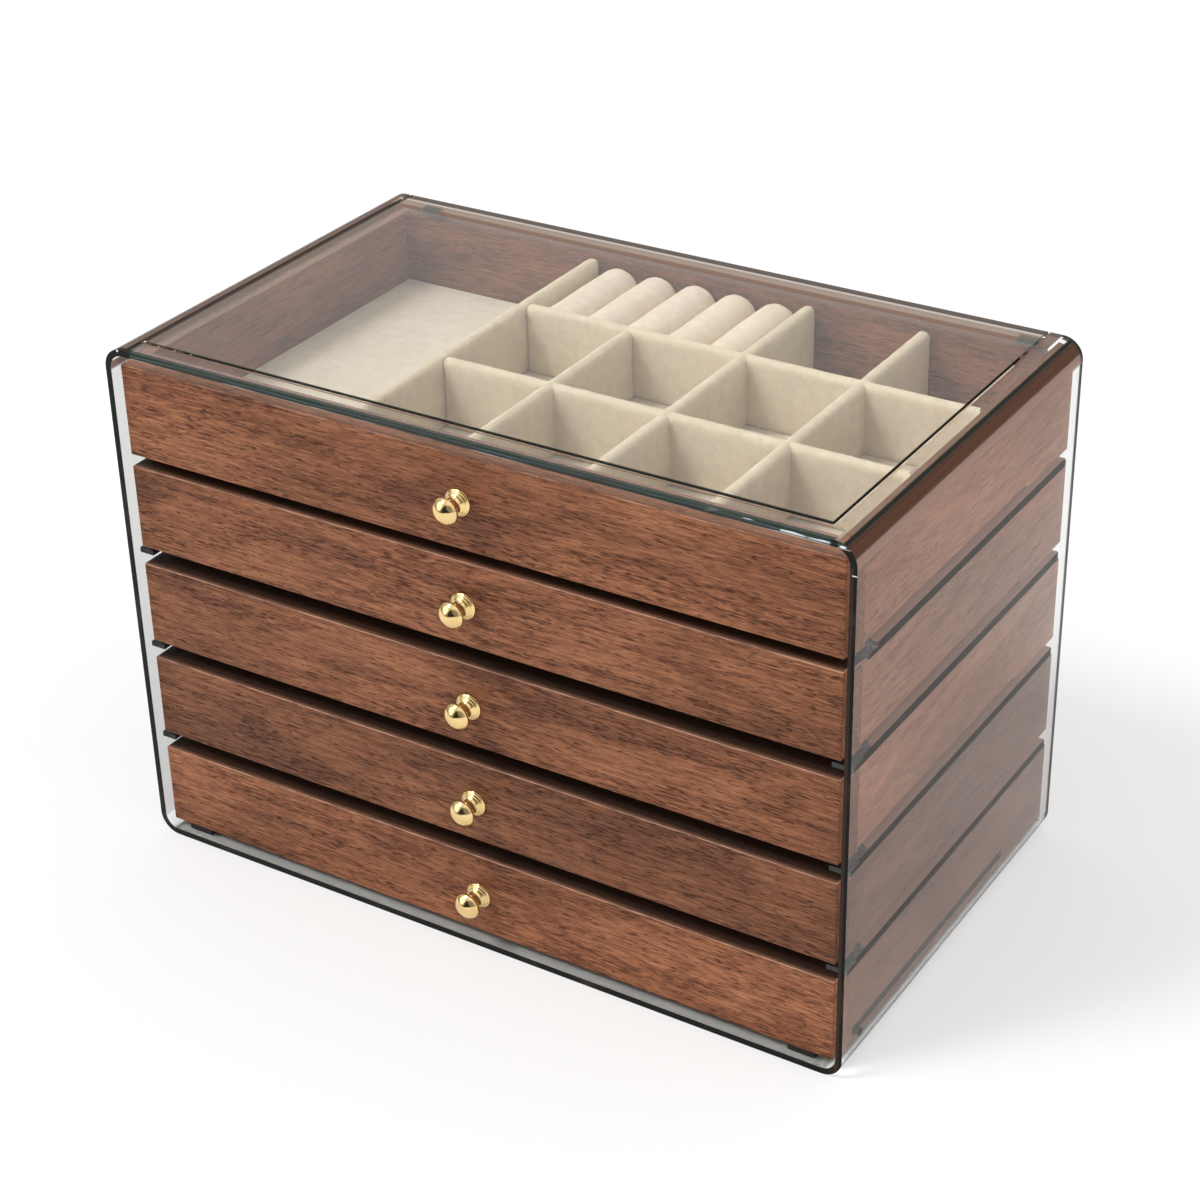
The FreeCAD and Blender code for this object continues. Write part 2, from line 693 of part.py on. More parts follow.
def make_drawer(number):
    """All the pieces of one drawer but what lies in it."""
    lift = "lift_%d" % number
    height = "top_drawer_height" if number == 1 else "drawer_height"
    make_front(number, lift, height)
    make_sides(number, lift, height)
    make_back_and_bottom(number, lift, height)
    make_knob(number, lift, height)


def divider_board(name, length, at, along):
    """A velvet-covered board on edge along X or Y, its top a full round."""
    straight = "divider_height - divider / 2"
    x, y, z = at
    if along == "x":
        size = (length, "divider", straight)
        axis = (x, "%s + divider / 2" % y, "%s + %s" % (z, straight))
    else:
        size = ("divider", length, straight)
        axis = ("%s + divider / 2" % x, y, "%s + %s" % (z, straight))
    board = box(name + "_board", size, at)
    crest = rod(name + "_crest", "divider / 2", length, axis, along)
    return fuse(name + "_blank", board, crest)


def make_dividers():
    """The main divider and the crossed dividers of the cells to its right."""
    full = "inside_depth - 2 * divider_fit"
    start_y = "inner_y + divider_fit"
    keep("main_divider", divider_board(
        "main_divider", full, ("main_x", start_y, "floor_z"), "y"
    ))
    slot_width = "divider + 2 * divider_fit"
    half = "divider_height / 2"
    columns = {
        "column_divider_1": (1, "cross_1_y - divider_fit - inner_y - divider_fit"),
        "column_divider_2": (2, full),
        "column_divider_3": (3, full),
    }
    for name, (place_number, length) in columns.items():
        x = "cells_x + %d * column_pitch - divider" % place_number
        rows = ("cross_2_y",) if place_number == 1 else ("cross_2_y", "cross_1_y")
        slots = [
            box(
                "%s_slot_%d" % (name, order), ("divider", slot_width, half),
                (x, "%s - divider_fit" % row, "divider_top - (%s)" % half),
            )
            for order, row in enumerate(rows)
        ]
        board = divider_board(name, length, (x, start_y, "floor_z"), "y")
        keep(name, cut(name, board, *slots))
    crosses = {"back_cross_divider": ("cross_1_y", (2, 3)),
               "front_cross_divider": ("cross_2_y", (1, 2, 3))}
    for name, (y, crossed) in crosses.items():
        slots = [
            box(
                "%s_slot_%d" % (name, place_number), (slot_width, "divider", half),
                ("cells_x + %d * column_pitch - divider - divider_fit" % place_number,
                 y, "floor_z"),
            )
            for place_number in crossed
        ]
        board = divider_board(
            name, "cells_width - 2 * divider_fit",
            ("cells_x + divider_fit", y, "floor_z"), "x",
        )
        keep(name, cut(name, board, *slots))


def roll_section(x, y, width, foot, top):
    """One cross-section of a ring roll: flat foot, bowed sides and a round top."""
    half = width / 2
    shoulder = top - 0.72 * half
    waist = foot + 0.45 * (shoulder - foot)
    tuck = 0.06 * width
    spots = {
        "foot_left": (-half + tuck, foot), "waist_left": (-half, waist),
        "shoulder_left": (-0.94 * half, shoulder), "crown": (0, top),
        "shoulder_right": (0.94 * half, shoulder), "waist_right": (half, waist),
        "foot_right": (half - tuck, foot),
    }
    at = {name: FreeCAD.Vector(x + dx, y, z) for name, (dx, z) in spots.items()}
    return Part.Wire([
        Part.Arc(at["foot_left"], at["waist_left"], at["shoulder_left"]).toShape(),
        Part.Arc(at["shoulder_left"], at["crown"], at["shoulder_right"]).toShape(),
        Part.Arc(at["shoulder_right"], at["waist_right"], at["foot_right"]).toShape(),
        Part.LineSegment(at["foot_right"], at["foot_left"]).toShape(),
    ])


def make_ring_rolls():
    """The padded rolls that hold rings in the two left cells of the back row."""
    left = mm("cells_x")
    bay = mm("2 * column_pitch - divider")
    pitch = mm("roll_pitch")
    width = mm("roll_width")
    count = int((bay + pitch - width) // pitch)
    start = mm("cross_1_y + divider + roll_end_gap")
    end = mm("inner_y + inside_depth - roll_end_gap")
    crown = mm("roll_crown")
    foot = mm("floor_z")
    top = mm("divider_top - roll_drop")
    # Stations along a roll: share of its length and share of the drawing-in.
    stations = ((0, 1), (0.12, 0.3), (0.5, 0), (0.88, 0.3), (1, 1))
    first = left + bay / 2 - pitch * (count - 1) / 2
    rolls = []
    for number in range(count):
        sections = [
            roll_section(
                first + number * pitch, start + share * (end - start),
                width - 2 * crown * drawn, foot, top - crown * drawn,
            )
            for share, drawn in stations
        ]
        rolls.append(Part.makeLoft(sections, True, False))
    item = doc.addObject("Part::Feature", "ring_rolls")
    item.Shape = Part.makeCompound(rolls)
    keep("ring_rolls", item)


def check_and_write():
    """Checks every object and each piece, then writes one file for each piece."""
    doc.recompute()
    for item in doc.Objects:
        if "Invalid" in item.State or "Error" in item.State:
            raise RuntimeError("%s failed: %s" % (item.Label, item.State))
    for item in nodes:
        if item.Shape.isNull() or not item.Shape.isValid() or not item.Shape.Solids:
            raise RuntimeError("%s has no valid solid" % item.Label)
    os.makedirs("parts", exist_ok=True)
    for item in nodes:
        item.Shape.exportStep("parts/%s.step" % item.Label)
        print("%-26s %2d solid, %10.1f mm3" % (
            item.Label, len(item.Shape.Solids), item.Shape.Volume
        ))


fill_sheet()
make_shell()
make_lid()
make_rails()
make_pads()
for drawer_number in DRAWERS:
    make_drawer(drawer_number)
make_dividers()
make_ring_rolls()
check_and_write()
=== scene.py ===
import math

import bpy
from mathutils import Matrix, Vector


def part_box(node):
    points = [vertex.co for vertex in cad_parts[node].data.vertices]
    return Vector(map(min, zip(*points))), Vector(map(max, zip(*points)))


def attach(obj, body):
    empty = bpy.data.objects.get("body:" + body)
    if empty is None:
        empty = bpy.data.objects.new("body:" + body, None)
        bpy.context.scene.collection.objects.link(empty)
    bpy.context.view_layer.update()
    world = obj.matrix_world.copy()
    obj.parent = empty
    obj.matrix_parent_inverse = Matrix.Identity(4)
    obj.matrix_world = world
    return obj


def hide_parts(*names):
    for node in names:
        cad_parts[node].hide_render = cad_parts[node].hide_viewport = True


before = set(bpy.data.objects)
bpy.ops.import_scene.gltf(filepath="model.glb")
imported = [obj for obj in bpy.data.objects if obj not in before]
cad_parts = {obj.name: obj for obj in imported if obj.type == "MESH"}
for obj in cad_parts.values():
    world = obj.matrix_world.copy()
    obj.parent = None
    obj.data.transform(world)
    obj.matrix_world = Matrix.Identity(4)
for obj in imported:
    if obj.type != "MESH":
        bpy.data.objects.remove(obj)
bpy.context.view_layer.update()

bl_info = {
    "name": "Clear-Cased Jewelry Box",
    "version": (1, 0, 0),
    "blender": (4, 5, 0),
    "location": "3D View > Sidebar > Jewelry Box",
    "description": "Clear sheet, walnut, brass and velvet for a jewelry box of five drawers",
    "category": "Object",
}

MM = 0.001
TINY = 0.0001  # less than this off a face still counts as on it
DRAWERS = (1, 2, 3, 4, 5)
FRONT_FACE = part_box("drawer_1_front")[0][1]

# The clear case, in metres
SHELL_LOW, SHELL_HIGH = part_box("acrylic_shell")
SHELL_FRONT, SHELL_BACK, SHELL_TOP = SHELL_LOW[1], SHELL_HIGH[1], SHELL_HIGH[2]
LID_LOW, LID_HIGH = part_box("top_lid")
SHEET = 0.0025  # thickness of the sheet
BEND = 0.008  # outer radius of the two top bends
BLOCK_WIDTH = 0.0085  # of each small block under the lid
LEFT_LINE = -0.1390  # where the left bend's dark line ends
FRONT_LINES = -0.1378  # where the lines along the top's front edge start
RIGHT_BEND = 0.1421  # just past the start of the right bend
TOP_PART = 0.19  # the bends and the top are above this

# How light the wood of each drawer is, and how much lighter its right side board is painted:
# painted light for the right wall
FRONT_TONES = {1: 0.93, 2: 0.81, 3: 0.81, 4: 0.67, 5: 0.95}
RIGHT_SIDE_LIGHT = {1: 1.5, 2: 1.65, 3: 1.72, 4: 1.2, 5: 0.85}

ROLLS = 5
ROLL_PITCH = 17.2 * MM

# The photo's camera, as fitted to the box's edges, with its angles in degrees
CAMERA_SPOT = (0.45767, -0.71490, 0.58932)
CAMERA_TURN, CAMERA_DROP, CAMERA_ROLL = -32.545, 29.8, -1.36
CAMERA_FOCAL = 2622.9 / 1200  # focal length in widths of the picture
SENSOR_WIDTH = 36

SIDE_LAMP = (1.1, 0.16, 0.25)
SIDE_LAMP_AIM = (0.15, 0.01, 0.10)


# Small tools for modelling


def deselect_all():
    """Leaves edit mode and selects nothing."""
    if bpy.context.object and bpy.context.object.mode != "OBJECT":
        bpy.ops.object.mode_set(mode="OBJECT")
    bpy.ops.object.select_all(action="DESELECT")


def only(piece):
    """Makes a piece the only one selected."""
    deselect_all()
    piece.select_set(True)
    bpy.context.view_layer.objects.active = piece


def settle(piece):
    """Puts the piece's place, turn and scale into its mesh."""
    only(piece)
    bpy.ops.object.transform_apply(location=True, rotation=True, scale=True)


def block(name, low, high):
    """A block between two corners."""
    low, high = Vector(low), Vector(high)
    deselect_all()
    bpy.ops.mesh.primitive_cube_add(size=1, location=(low + high) / 2)
    piece = bpy.context.object
    piece.name = piece.data.name = name
    piece.scale = high - low
    settle(piece)
    return piece


def pick_edges(piece, wanted):
    """Goes into edit mode with only the edges selected whose two ends pass a test."""
    only(piece)
    bpy.ops.object.mode_set(mode="EDIT")
    bpy.ops.mesh.select_mode(type="EDGE")
    bpy.ops.mesh.select_all(action="DESELECT")
    bpy.ops.object.mode_set(mode="OBJECT")
    points = piece.data.vertices
    for edge in piece.data.edges:
        edge.select = wanted(*(points[number].co for number in edge.vertices))
    bpy.ops.object.mode_set(mode="EDIT")


def pick_faces(piece, wanted):
    """Goes into edit mode with only the faces selected that pass a test."""
    only(piece)
    bpy.ops.object.mode_set(mode="EDIT")
    bpy.ops.mesh.select_mode(type="FACE")
    bpy.ops.mesh.select_all(action="DESELECT")
    bpy.ops.object.mode_set(mode="OBJECT")
    for face in piece.data.polygons:
        face.select = wanted(face)
    bpy.ops.object.mode_set(mode="EDIT")


def round_over(piece, wanted, width, segments):
    """Bevels the edges that pass a test."""
    pick_edges(piece, wanted)
    bpy.ops.mesh.bevel(offset=width, segments=segments, profile=0.5, affect="EDGES")
    bpy.ops.object.mode_set(mode="OBJECT")


def modify(piece, kind, **settings):
    """Adds a modifier and applies it."""
    only(piece)
    modifier = piece.modifiers.new(kind.lower(), kind)
    for key, value in settings.items():
        setattr(modifier, key, value)
    bpy.ops.object.modifier_apply(modifier=modifier.name)


def nap(name, size):
    """A soft cloud that roughens a velvet surface."""
    cloud = bpy.data.textures.get(name) or bpy.data.textures.new(name, "CLOUDS")
    cloud.noise_scale = size
    return cloud


def upholster(piece, finish, cloud, size, passes, height):
    """Makes a block soft: small faces, smoothing, and a nap some nap heights high."""
    modify(piece, "REMESH", mode="VOXEL", voxel_size=finish.velvet_grid)
    modify(piece, "SMOOTH", factor=0.5, iterations=passes)
    modify(
        piece, "DISPLACE", texture=nap(cloud, size),
        texture_coords="LOCAL", strength=finish.nap_height * height, mid_level=0.5,
    )
    only(piece)
    bpy.ops.object.shade_smooth()


def copy_of(piece, name, move):
    """A copy with its own mesh, moved."""
    twin = piece.copy()
    twin.data = piece.data.copy()
    twin.name = twin.data.name = name
    bpy.context.scene.collection.objects.link(twin)
    twin.location = move
    settle(twin)
    return twin


def give(piece, material, body, slot, *nodes):
    """Material, body and the CAD nodes that the piece stands for; the finish slot is not used."""
    piece.data.materials.clear()
    piece.data.materials.append(material)
    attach(piece, body)
    if nodes:
        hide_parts(*nodes)


def paint(node, material):
    """Gives a CAD node a better material in its own slots."""
    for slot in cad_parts[node].material_slots:
        slot.material = material


# Small tools for materials


def times(colour, share):
    """A colour made darker or lighter."""
    return tuple(min(1, part * share) for part in colour)


class Mix:
    """The node tree of a material or of the world, filled node by node."""

    def __init__(self, name, world=False):
        self.owner = (bpy.data.worlds if world else bpy.data.materials).new(name)
        self.owner.use_nodes = True
        self.tree = self.owner.node_tree
        self.tree.nodes.clear()
        self.output = self.tree.nodes.new(
            "ShaderNodeOutput" + ("World" if world else "Material")
        )

    def add(self, kind, values=None, **settings):
        """A node with its settings, and its inputs as values or as links."""
        node = self.tree.nodes.new("ShaderNode" + kind)
        for key, value in settings.items():
            setattr(node, key, value)
        for key, value in (values or {}).items():
            socket = node.inputs[key]
            if isinstance(value, bpy.types.NodeSocket):
                self.tree.links.new(value, socket)
            else:
                socket.default_value = value
        return node

    def math(self, operation, first, second=0.0):
        return self.add("Math", {0: first, 1: second}, operation=operation).outputs[0]

    def ramp(self, fac, *stops):
        """A colour ramp from places and colours."""
        node = self.add("ValToRGB", {"Fac": fac})
        bar = node.color_ramp.elements
        while len(bar) < len(stops):
            bar.new(0.5)
        for element, (place, colour) in zip(bar, stops):
            element.position = place
            element.color = (*colour, 1) if len(colour) == 3 else colour
        return node.outputs["Color"]

    def fade(self, value, start, end):
        """0 before start and 1 after end, or the other way round."""
        return self.add(
            "MapRange", {"Value": value, "From Min": start, "From Max": end},
            interpolation_type="SMOOTHSTEP",
        ).outputs["Result"]

    def blend(self, fac, first, second, mode="MIX"):
        node = self.add("Mix", data_type="RGBA", blend_type=mode)
        for socket, value in ((0, fac), (6, first), (7, second)):
            if isinstance(value, bpy.types.NodeSocket):
                self.tree.links.new(value, node.inputs[socket])
            else:
                node.inputs[socket].default_value = (
                    value if socket == 0 else (*value, 1)
                )
        return node.outputs[2]

    def noise(self, vector, scale, detail=3.0, roughness=0.5, distortion=0.0):
        return self.add(
            "TexNoise",
            {"Vector": vector, "Scale": scale, "Detail": detail,
             "Roughness": roughness, "Distortion": distortion},
        ).outputs["Fac"]

    def place(self, scale=(1, 1, 1), move=(0, 0, 0), turn=(0, 0, 0)):
        """Object coordinates, stretched and moved."""
        where = self.add("TexCoord").outputs["Object"]
        return self.add(
            "Mapping", {"Vector": where, "Scale": scale, "Location": move, "Rotation": turn}
        ).outputs["Vector"]

    def split(self, output):
        """X, Y and Z of the Object or Normal output of Texture Coordinate."""
        where = self.add("TexCoord").outputs[output]
        return self.add("SeparateXYZ", {0: where}).outputs

    def bump(self, height, distance, strength=1.0):
        return self.add(
            "Bump", {"Height": height, "Distance": distance, "Strength": strength}
        ).outputs["Normal"]

    def end(self, shader):
        """Links the last shader, and gives the material or the world."""
        self.tree.links.new(shader, self.output.inputs["Surface"])
        return self.owner


def walnut(name, along, seed, tone, painted_gap_shade, grey=0.0, figure=1.0,
           top_sheen_and_shade=(0.24, 0.14, 0.10), top_sheen_and_shade_share=0.5):
    """Walnut: growth bands, fine fibres and short dark pores drawn out along one axis.

    Tone lightens it, grey takes colour out and figure is how clearly the grain shows.
    The level top gets a greyer tint, a painted reflection, and painted shade where the tint
    is darker; painted shade also darkens the underside and the top behind the front face.
    """
    mix = Mix(name)
    finish = bpy.context.scene.jewelry_box_finish
    away = (seed * 0.37, seed * 0.53, seed * 0.71)

    def drawn(share):
        return mix.place({"x": (share, 1, 1), "y": (1, share, 1)}[along], away)

    bands = mix.noise(drawn(0.12), 70.0, 4.0, 0.6, 2.2)
    fibres = mix.noise(drawn(0.08), 1150.0, 4.0, 0.7, 0.4)
    threads = mix.noise(drawn(0.05), 2300.0, 2.0, 0.6)
    pores = mix.noise(drawn(0.13), 1800.0, 1.0, 0.5, 0.2)
    veins = mix.noise(drawn(0.03), 330.0, 3.0, 0.6, 1.4)
    blotch = mix.noise(drawn(0.4), 26.0, 3.0)
    light, middle, dark = (
        tuple((c + grey * (sum(own) / 3 - c)) * tone for c in own)
        for own in (finish.walnut_light, finish.walnut_middle, finish.walnut_dark)
    )
    light, dark = (
        tuple(m + (c - m) * (0.4 + 0.6 * figure) for c, m in zip(own, middle))
        for own in (light, dark)
    )
    woven = mix.math(
        "ADD", mix.math("MULTIPLY", bands, 0.34), mix.math("MULTIPLY", fibres, 0.66)
    )
    body = mix.ramp(woven, (0.40, dark), (0.49, middle), (0.59, light))
    streaked = mix.blend(
        mix.math("MULTIPLY", mix.fade(threads, 0.46, 0.62), 0.45 * figure), body,
        times(dark, 0.6),
    )
    veined = mix.blend(
        mix.math("MULTIPLY", mix.fade(veins, 0.58, 0.68), 0.4 * figure), streaked,
        times(dark, 0.6),
    )
    warm = mix.blend(mix.fade(blotch, 0.33, 0.68), (0.82, 0.80, 0.80), (1.17, 1.17, 1.18))
    shaded = mix.blend(1.0, veined, warm, "MULTIPLY")
    crowd = mix.math("MULTIPLY", mix.fade(bands, 0.60, 0.38), 0.10)
    pore = mix.fade(mix.math("ADD", pores, crowd), 0.62, 0.70)
    dotted = mix.blend(
        mix.math("MULTIPLY", pore, 0.75 * figure), shaded, times(dark, 0.3)
    )
    # The level top edges get a painted reflection, greyer, and painted shade behind the front's
    # face and underneath.
    facing = mix.split("Normal")
    here = mix.split("Object")
    level = mix.fade(facing[2], 0.97, 0.995)
    top_sheen_painted = mix.blend(mix.math("MULTIPLY", level, top_sheen_and_shade_share), dotted, top_sheen_and_shade)
    inward = mix.fade(here[1], FRONT_FACE + 0.0003, FRONT_FACE + 0.0026)
    under = mix.fade(facing[2], -0.9, -0.98)
    shade_mask = mix.math("MAXIMUM", under, mix.math("MULTIPLY", level, inward))
    shade_painted = mix.blend(mix.math("MULTIPLY", shade_mask, painted_gap_shade), top_sheen_painted, (0.012, 0.006, 0.004))
    # The upper front edge is paler: a painted highlight where the edge faces up to the light.
    upward = mix.math("MULTIPLY", mix.fade(facing[2], 0.25, 0.5), mix.fade(facing[2], 0.97, 0.88))
    edge_highlight = mix.math("ADD", mix.math("MULTIPLY", mix.fade(fibres, 0.4, 0.6), 0.5),
                    0.05 if seed == 1 else 0.35)
    colour = mix.blend(mix.math("MULTIPLY", upward, edge_highlight), shade_painted, (0.52, 0.30, 0.21))
    rough = mix.math("ADD", mix.math("MULTIPLY", pore, 0.2), 0.5)
    relief = mix.math("SUBTRACT", mix.math("MULTIPLY", fibres, 0.4), pore)
    shader = mix.add(
        "BsdfPrincipled",
        {"Base Color": colour, "Roughness": rough,
         "Normal": mix.bump(relief, 0.00005, 0.5)},
    )
    shader.inputs["Specular IOR Level"].default_value = 0.22
    return mix.end(shader.outputs[0])


def velvet(name, colour):
    """Short-pile velvet: fine nap, soft mottling and a faint sheen at the edges."""
    mix = Mix(name)
    here = mix.place()
    pile = mix.noise(here, 2600.0, 3.0, 0.65)
    brushed = mix.noise(here, 240.0, 4.0, 0.65)
    cloud = mix.noise(here, 38.0, 3.0)
    tone = mix.blend(mix.fade(brushed, 0.3, 0.7), times(colour, 0.91), times(colour, 1.06))
    tone = mix.blend(
        mix.math("MULTIPLY", mix.fade(cloud, 0.35, 0.7), 0.5), tone,
        (colour[0] * 0.97, colour[1] * 0.93, colour[2] * 0.85),
    )
    lint = mix.fade(mix.noise(here, 700.0, 0.0), 0.86, 0.89)
    tone = mix.blend(mix.math("MULTIPLY", lint, 0.5), tone, (0.10, 0.07, 0.05))
    tone = mix.blend(
        mix.math("MULTIPLY", mix.fade(pile, 0.42, 0.66), 0.22), tone,
        times(colour, 0.62),
    )
    relief = mix.math("ADD", pile, mix.math("MULTIPLY", brushed, 1.2))
    shader = mix.add(
        "BsdfPrincipled",
        {"Base Color": tone, "Roughness": 0.95,
         "Normal": mix.bump(relief, 0.00016, 0.7)},
    )
    shader.inputs["Specular IOR Level"].default_value = 0.1
    shader.inputs["Sheen Weight"].default_value = 0.12
    shader.inputs["Sheen Roughness"].default_value = 0.45
    shader.inputs["Sheen Tint"].default_value = (1.0, 0.93, 0.82, 1)
    return mix.end(shader.outputs[0])


def polished_brass(name, colour):
    """Polished brass with faint turning marks and a slightly uneven lacquer."""
    mix = Mix(name)
    here = mix.place()
    cloud = mix.noise(here, 260.0, 3.0)
    marks = mix.noise(mix.place((1, 9, 1)), 900.0, 2.0)
    tone = mix.blend(mix.fade(cloud, 0.3, 0.7), times(colour, 0.9), colour)
    rough = mix.math("ADD", mix.math("MULTIPLY", cloud, 0.08), 0.08)
    shader = mix.add(
        "BsdfPrincipled",
        {"Base Color": tone, "Metallic": 1.0, "Roughness": rough,
         "Normal": mix.bump(marks, 0.000004, 0.5)},
    )
    return mix.end(shader.outputs[0])


def plain_metal(name, colour):
    """Machined steel with fine scratches."""
    mix = Mix(name)
    fine = mix.noise(mix.place((1, 6, 1)), 1500.0, 3.0)
    tone = mix.blend(fine, times(colour, 0.8), colour)
    shader = mix.add(
        "BsdfPrincipled",
        {"Base Color": tone, "Metallic": 1.0,
         "Roughness": mix.math("ADD", mix.math("MULTIPLY", fine, 0.2), 0.22),
         "Normal": mix.bump(fine, 0.00001, 0.5)},
    )
    return mix.end(shader.outputs[0])


def moulded(name, colour, roughness, grain, mirrored=0.0):
    """Moulded black plastic or rubber; a rail may get a painted reflection of the wood on its top
    and painted light, in warm brown, on its outside.
    """
    mix = Mix(name)
    here = mix.place()
    skin = mix.noise(here, 1800.0, 3.0)
    dust = mix.noise(here, 70.0, 3.0)
    tone = mix.blend(
        mix.fade(dust, 0.4, 0.75), colour, tuple(c * 1.6 + 0.006 for c in colour)
    )
    if mirrored:
        # Painted reflection of the wood on the level top behind the front, and painted light on
        # the outer face.
        behind = mix.fade(mix.split("Object")[1], FRONT_FACE + 0.012, FRONT_FACE + 0.016)
        level = mix.math("MULTIPLY", mix.fade(mix.split("Normal")[2], 0.9, 0.98), behind)
        tone = mix.blend(mix.math("MULTIPLY", level, mirrored), tone, (0.50, 0.245, 0.155))
        outward = mix.math("MULTIPLY", mix.fade(mix.split("Normal")[0], 0.9, 0.98), mirrored)
        tone = mix.blend(outward, tone, (0.17, 0.12, 0.08))
    shader = mix.add(
        "BsdfPrincipled",
        {"Base Color": tone,
         "Roughness": mix.math("ADD", mix.math("MULTIPLY", dust, 0.15), roughness),
         "Normal": mix.bump(skin, grain, 0.6)},
    )
    return mix.end(shader.outputs[0])


def clear_sheet(name, layers):
    """Clear sheet that bends what is seen through it, with painted shade, highlights and
    reflections on its edges and bends.
    """
    mix = Mix(name)
    finish = bpy.context.scene.jewelry_box_finish
    clear = mix.add(
        "BsdfPrincipled",
        {"Base Color": (*finish.sheet_tint, 1),
         "Roughness": 0.0, "IOR": 1.49, "Transmission Weight": 1.0},
    )
    clear.inputs["Specular Tint"].default_value = (0.4, 0.38, 0.36, 1)
    through = mix.add("BsdfTransparent", {"Color": (0.93, 0.935, 0.93, 1)})
    tints = layers(mix)
    straight = mix.math(
        "MAXIMUM", mix.add("LightPath").outputs["Is Shadow Ray"], tints.slit
    )
    glass = mix.add(
        "MixShader", {0: straight, 1: clear.outputs[0], 2: through.outputs[0]}
    )
    tinted = mix.add(
        "BsdfPrincipled", {"Base Color": tints.colour, "Roughness": 0.14, "IOR": 1.49}
    )
    tinted.inputs["Specular IOR Level"].default_value = 0.12
    both = mix.add(
        "MixShader", {0: tints.cover, 1: glass.outputs[0], 2: tinted.outputs[0]}
    )
    return mix.end(both.outputs[0])


class Layers:
    """Tints laid one over another on a clear sheet, each where all its masks meet."""

    def __init__(self, mix, colour):
        self.mix = mix
        self.colour = colour
        self.cover = 0.0
        self.slit = 0.0
        self.x, self.y, self.z = mix.split("Object")
        self.side, self.along, self.up = mix.split("Normal")

    def above(self, value, limit):
        return self.mix.math("GREATER_THAN", value, limit)

    def below(self, value, limit):
        return self.mix.math("LESS_THAN", value, limit)

    def band(self, value, low, high, soft):
        """1 between two values, with soft ends."""
        mix = self.mix
        return mix.math(
            "MULTIPLY", mix.fade(value, low - soft, low + soft),
            mix.fade(value, high + soft, high - soft),
        )

    def inside(self, values, centre, sizes):
        """1 inside an ellipse."""
        mix = self.mix
        squares = [
            mix.math("POWER", mix.math("DIVIDE", mix.math("SUBTRACT", value, middle), size), 2.0)
            for value, middle, size in zip(values, centre, sizes)
        ]
        return self.below(mix.math("ADD", *squares), 1.0)

    def meet(self, *masks):
        """1 where all the masks are 1."""
        result = masks[0]
        for mask in masks[1:]:
            result = self.mix.math("MULTIPLY", result, mask)
        return result

    def flat_top(self, top):
        """The level face at the top of a piece."""
        return self.meet(self.above(self.up, 0.999), self.above(self.z, top - TINY))

    def lay(self, colour, strength, *masks):
        """A tint over all that was laid before, where all its masks meet."""
        mix = self.mix
        amount = mix.math("MULTIPLY", self.meet(*masks), strength)
        self.colour = mix.blend(amount, self.colour, colour)
        self.cover = mix.math("MAXIMUM", self.cover, amount)


def back_bands(tints, flat_top):
    """The bright and dark lines that the back edge throws into the sheet's top, laid on it as
    painted highlights and painted shade, with the wood seen through painted farthest from the
    back edge.

    Each row starts and ends at its distance from the back edge.
    """
    for start, end, colour, strength in (
        (0.0092, 0.0126, (0.20, 0.105, 0.066), 0.95),
        (0.0058, 0.0094, (0.33, 0.235, 0.18), 0.92),
        (0.0050, 0.0060, (0.27, 0.21, 0.17), 0.96),
        (0.0035, 0.0052, (0.56, 0.48, 0.42), 0.92),
        (0.0, 0.0037, (0.12, 0.093, 0.08), 0.97),
        (0.0023, 0.0029, (0.06, 0.05, 0.042), 0.8),
    ):
        across = tints.band(tints.y, SHELL_BACK - end, SHELL_BACK - start + 0.0002, 0.00015)
        tints.lay(colour, strength, across, flat_top)


def wall_and_floor(tints):
    """A faint grey on the left wall, and painted shade at the floor's left and front edges."""
    mix, x, y = tints.mix, tints.x, tints.y
    tints.lay((0.26, 0.25, 0.23), 0.15, tints.below(x, SHELL_LOW[0] + SHEET + TINY),
              tints.above(mix.math("ABSOLUTE", tints.side), 0.95))
    rim = mix.math("MAXIMUM", mix.fade(x, -0.124, -0.136),
                   mix.fade(y, SHELL_FRONT + 0.026, SHELL_FRONT + 0.012))
    tints.lay((0.30, 0.27, 0.22), 0.5, tints.above(tints.up, 0.95),
              tints.below(tints.z, SHEET + 2 * TINY), rim)


def left_bend(tints, flat_top):
    """A warm grey strip that paints the wood seen through the bend, then a dark line of painted
    shade.
    """
    tints.lay((0.165, 0.108, 0.080), 0.88, tints.below(tints.x, LEFT_LINE),
              tints.above(tints.up, 0.3), tints.above(tints.z, TOP_PART))
    tints.lay((0.006, 0.003, 0.001), 1.0,
              tints.band(tints.x, LEFT_LINE - 0.0020, LEFT_LINE, 0.0003), flat_top)


def right_bend(tints):
    """A dark line, a red-brown band and a thin dark line, then a pale band on the wall: the dark
    lines are painted shade, and the red-brown band paints the wood seen through the bend.
    """
    side = tints.side
    bend = tints.meet(tints.above(tints.up, 0.02), tints.above(tints.x, RIGHT_BEND))

    def turned(start, end, soft):
        """The part of the bend that is turned to the side by between two amounts."""
        return tints.meet(tints.band(side, start, end, soft), bend)

    tints.lay((0.098, 0.037, 0.018), 0.95, turned(0.54, 0.90, 0.04))
    tints.lay((0.38, 0.235, 0.18), 0.85, tints.above(side, 0.9),
              tints.band(tints.z, SHELL_TOP - 0.0088, SHELL_TOP - 0.0050, 0.0005))
    tints.lay((0.05, 0.02, 0.01), 0.85, turned(0.885, 0.925, 0.015))
    tints.lay((0.05, 0.024, 0.014), 0.6, turned(0.54, 0.66, 0.03))
    tints.lay((0.012, 0.011, 0.007), 0.99, turned(0.36, 0.55, 0.04))


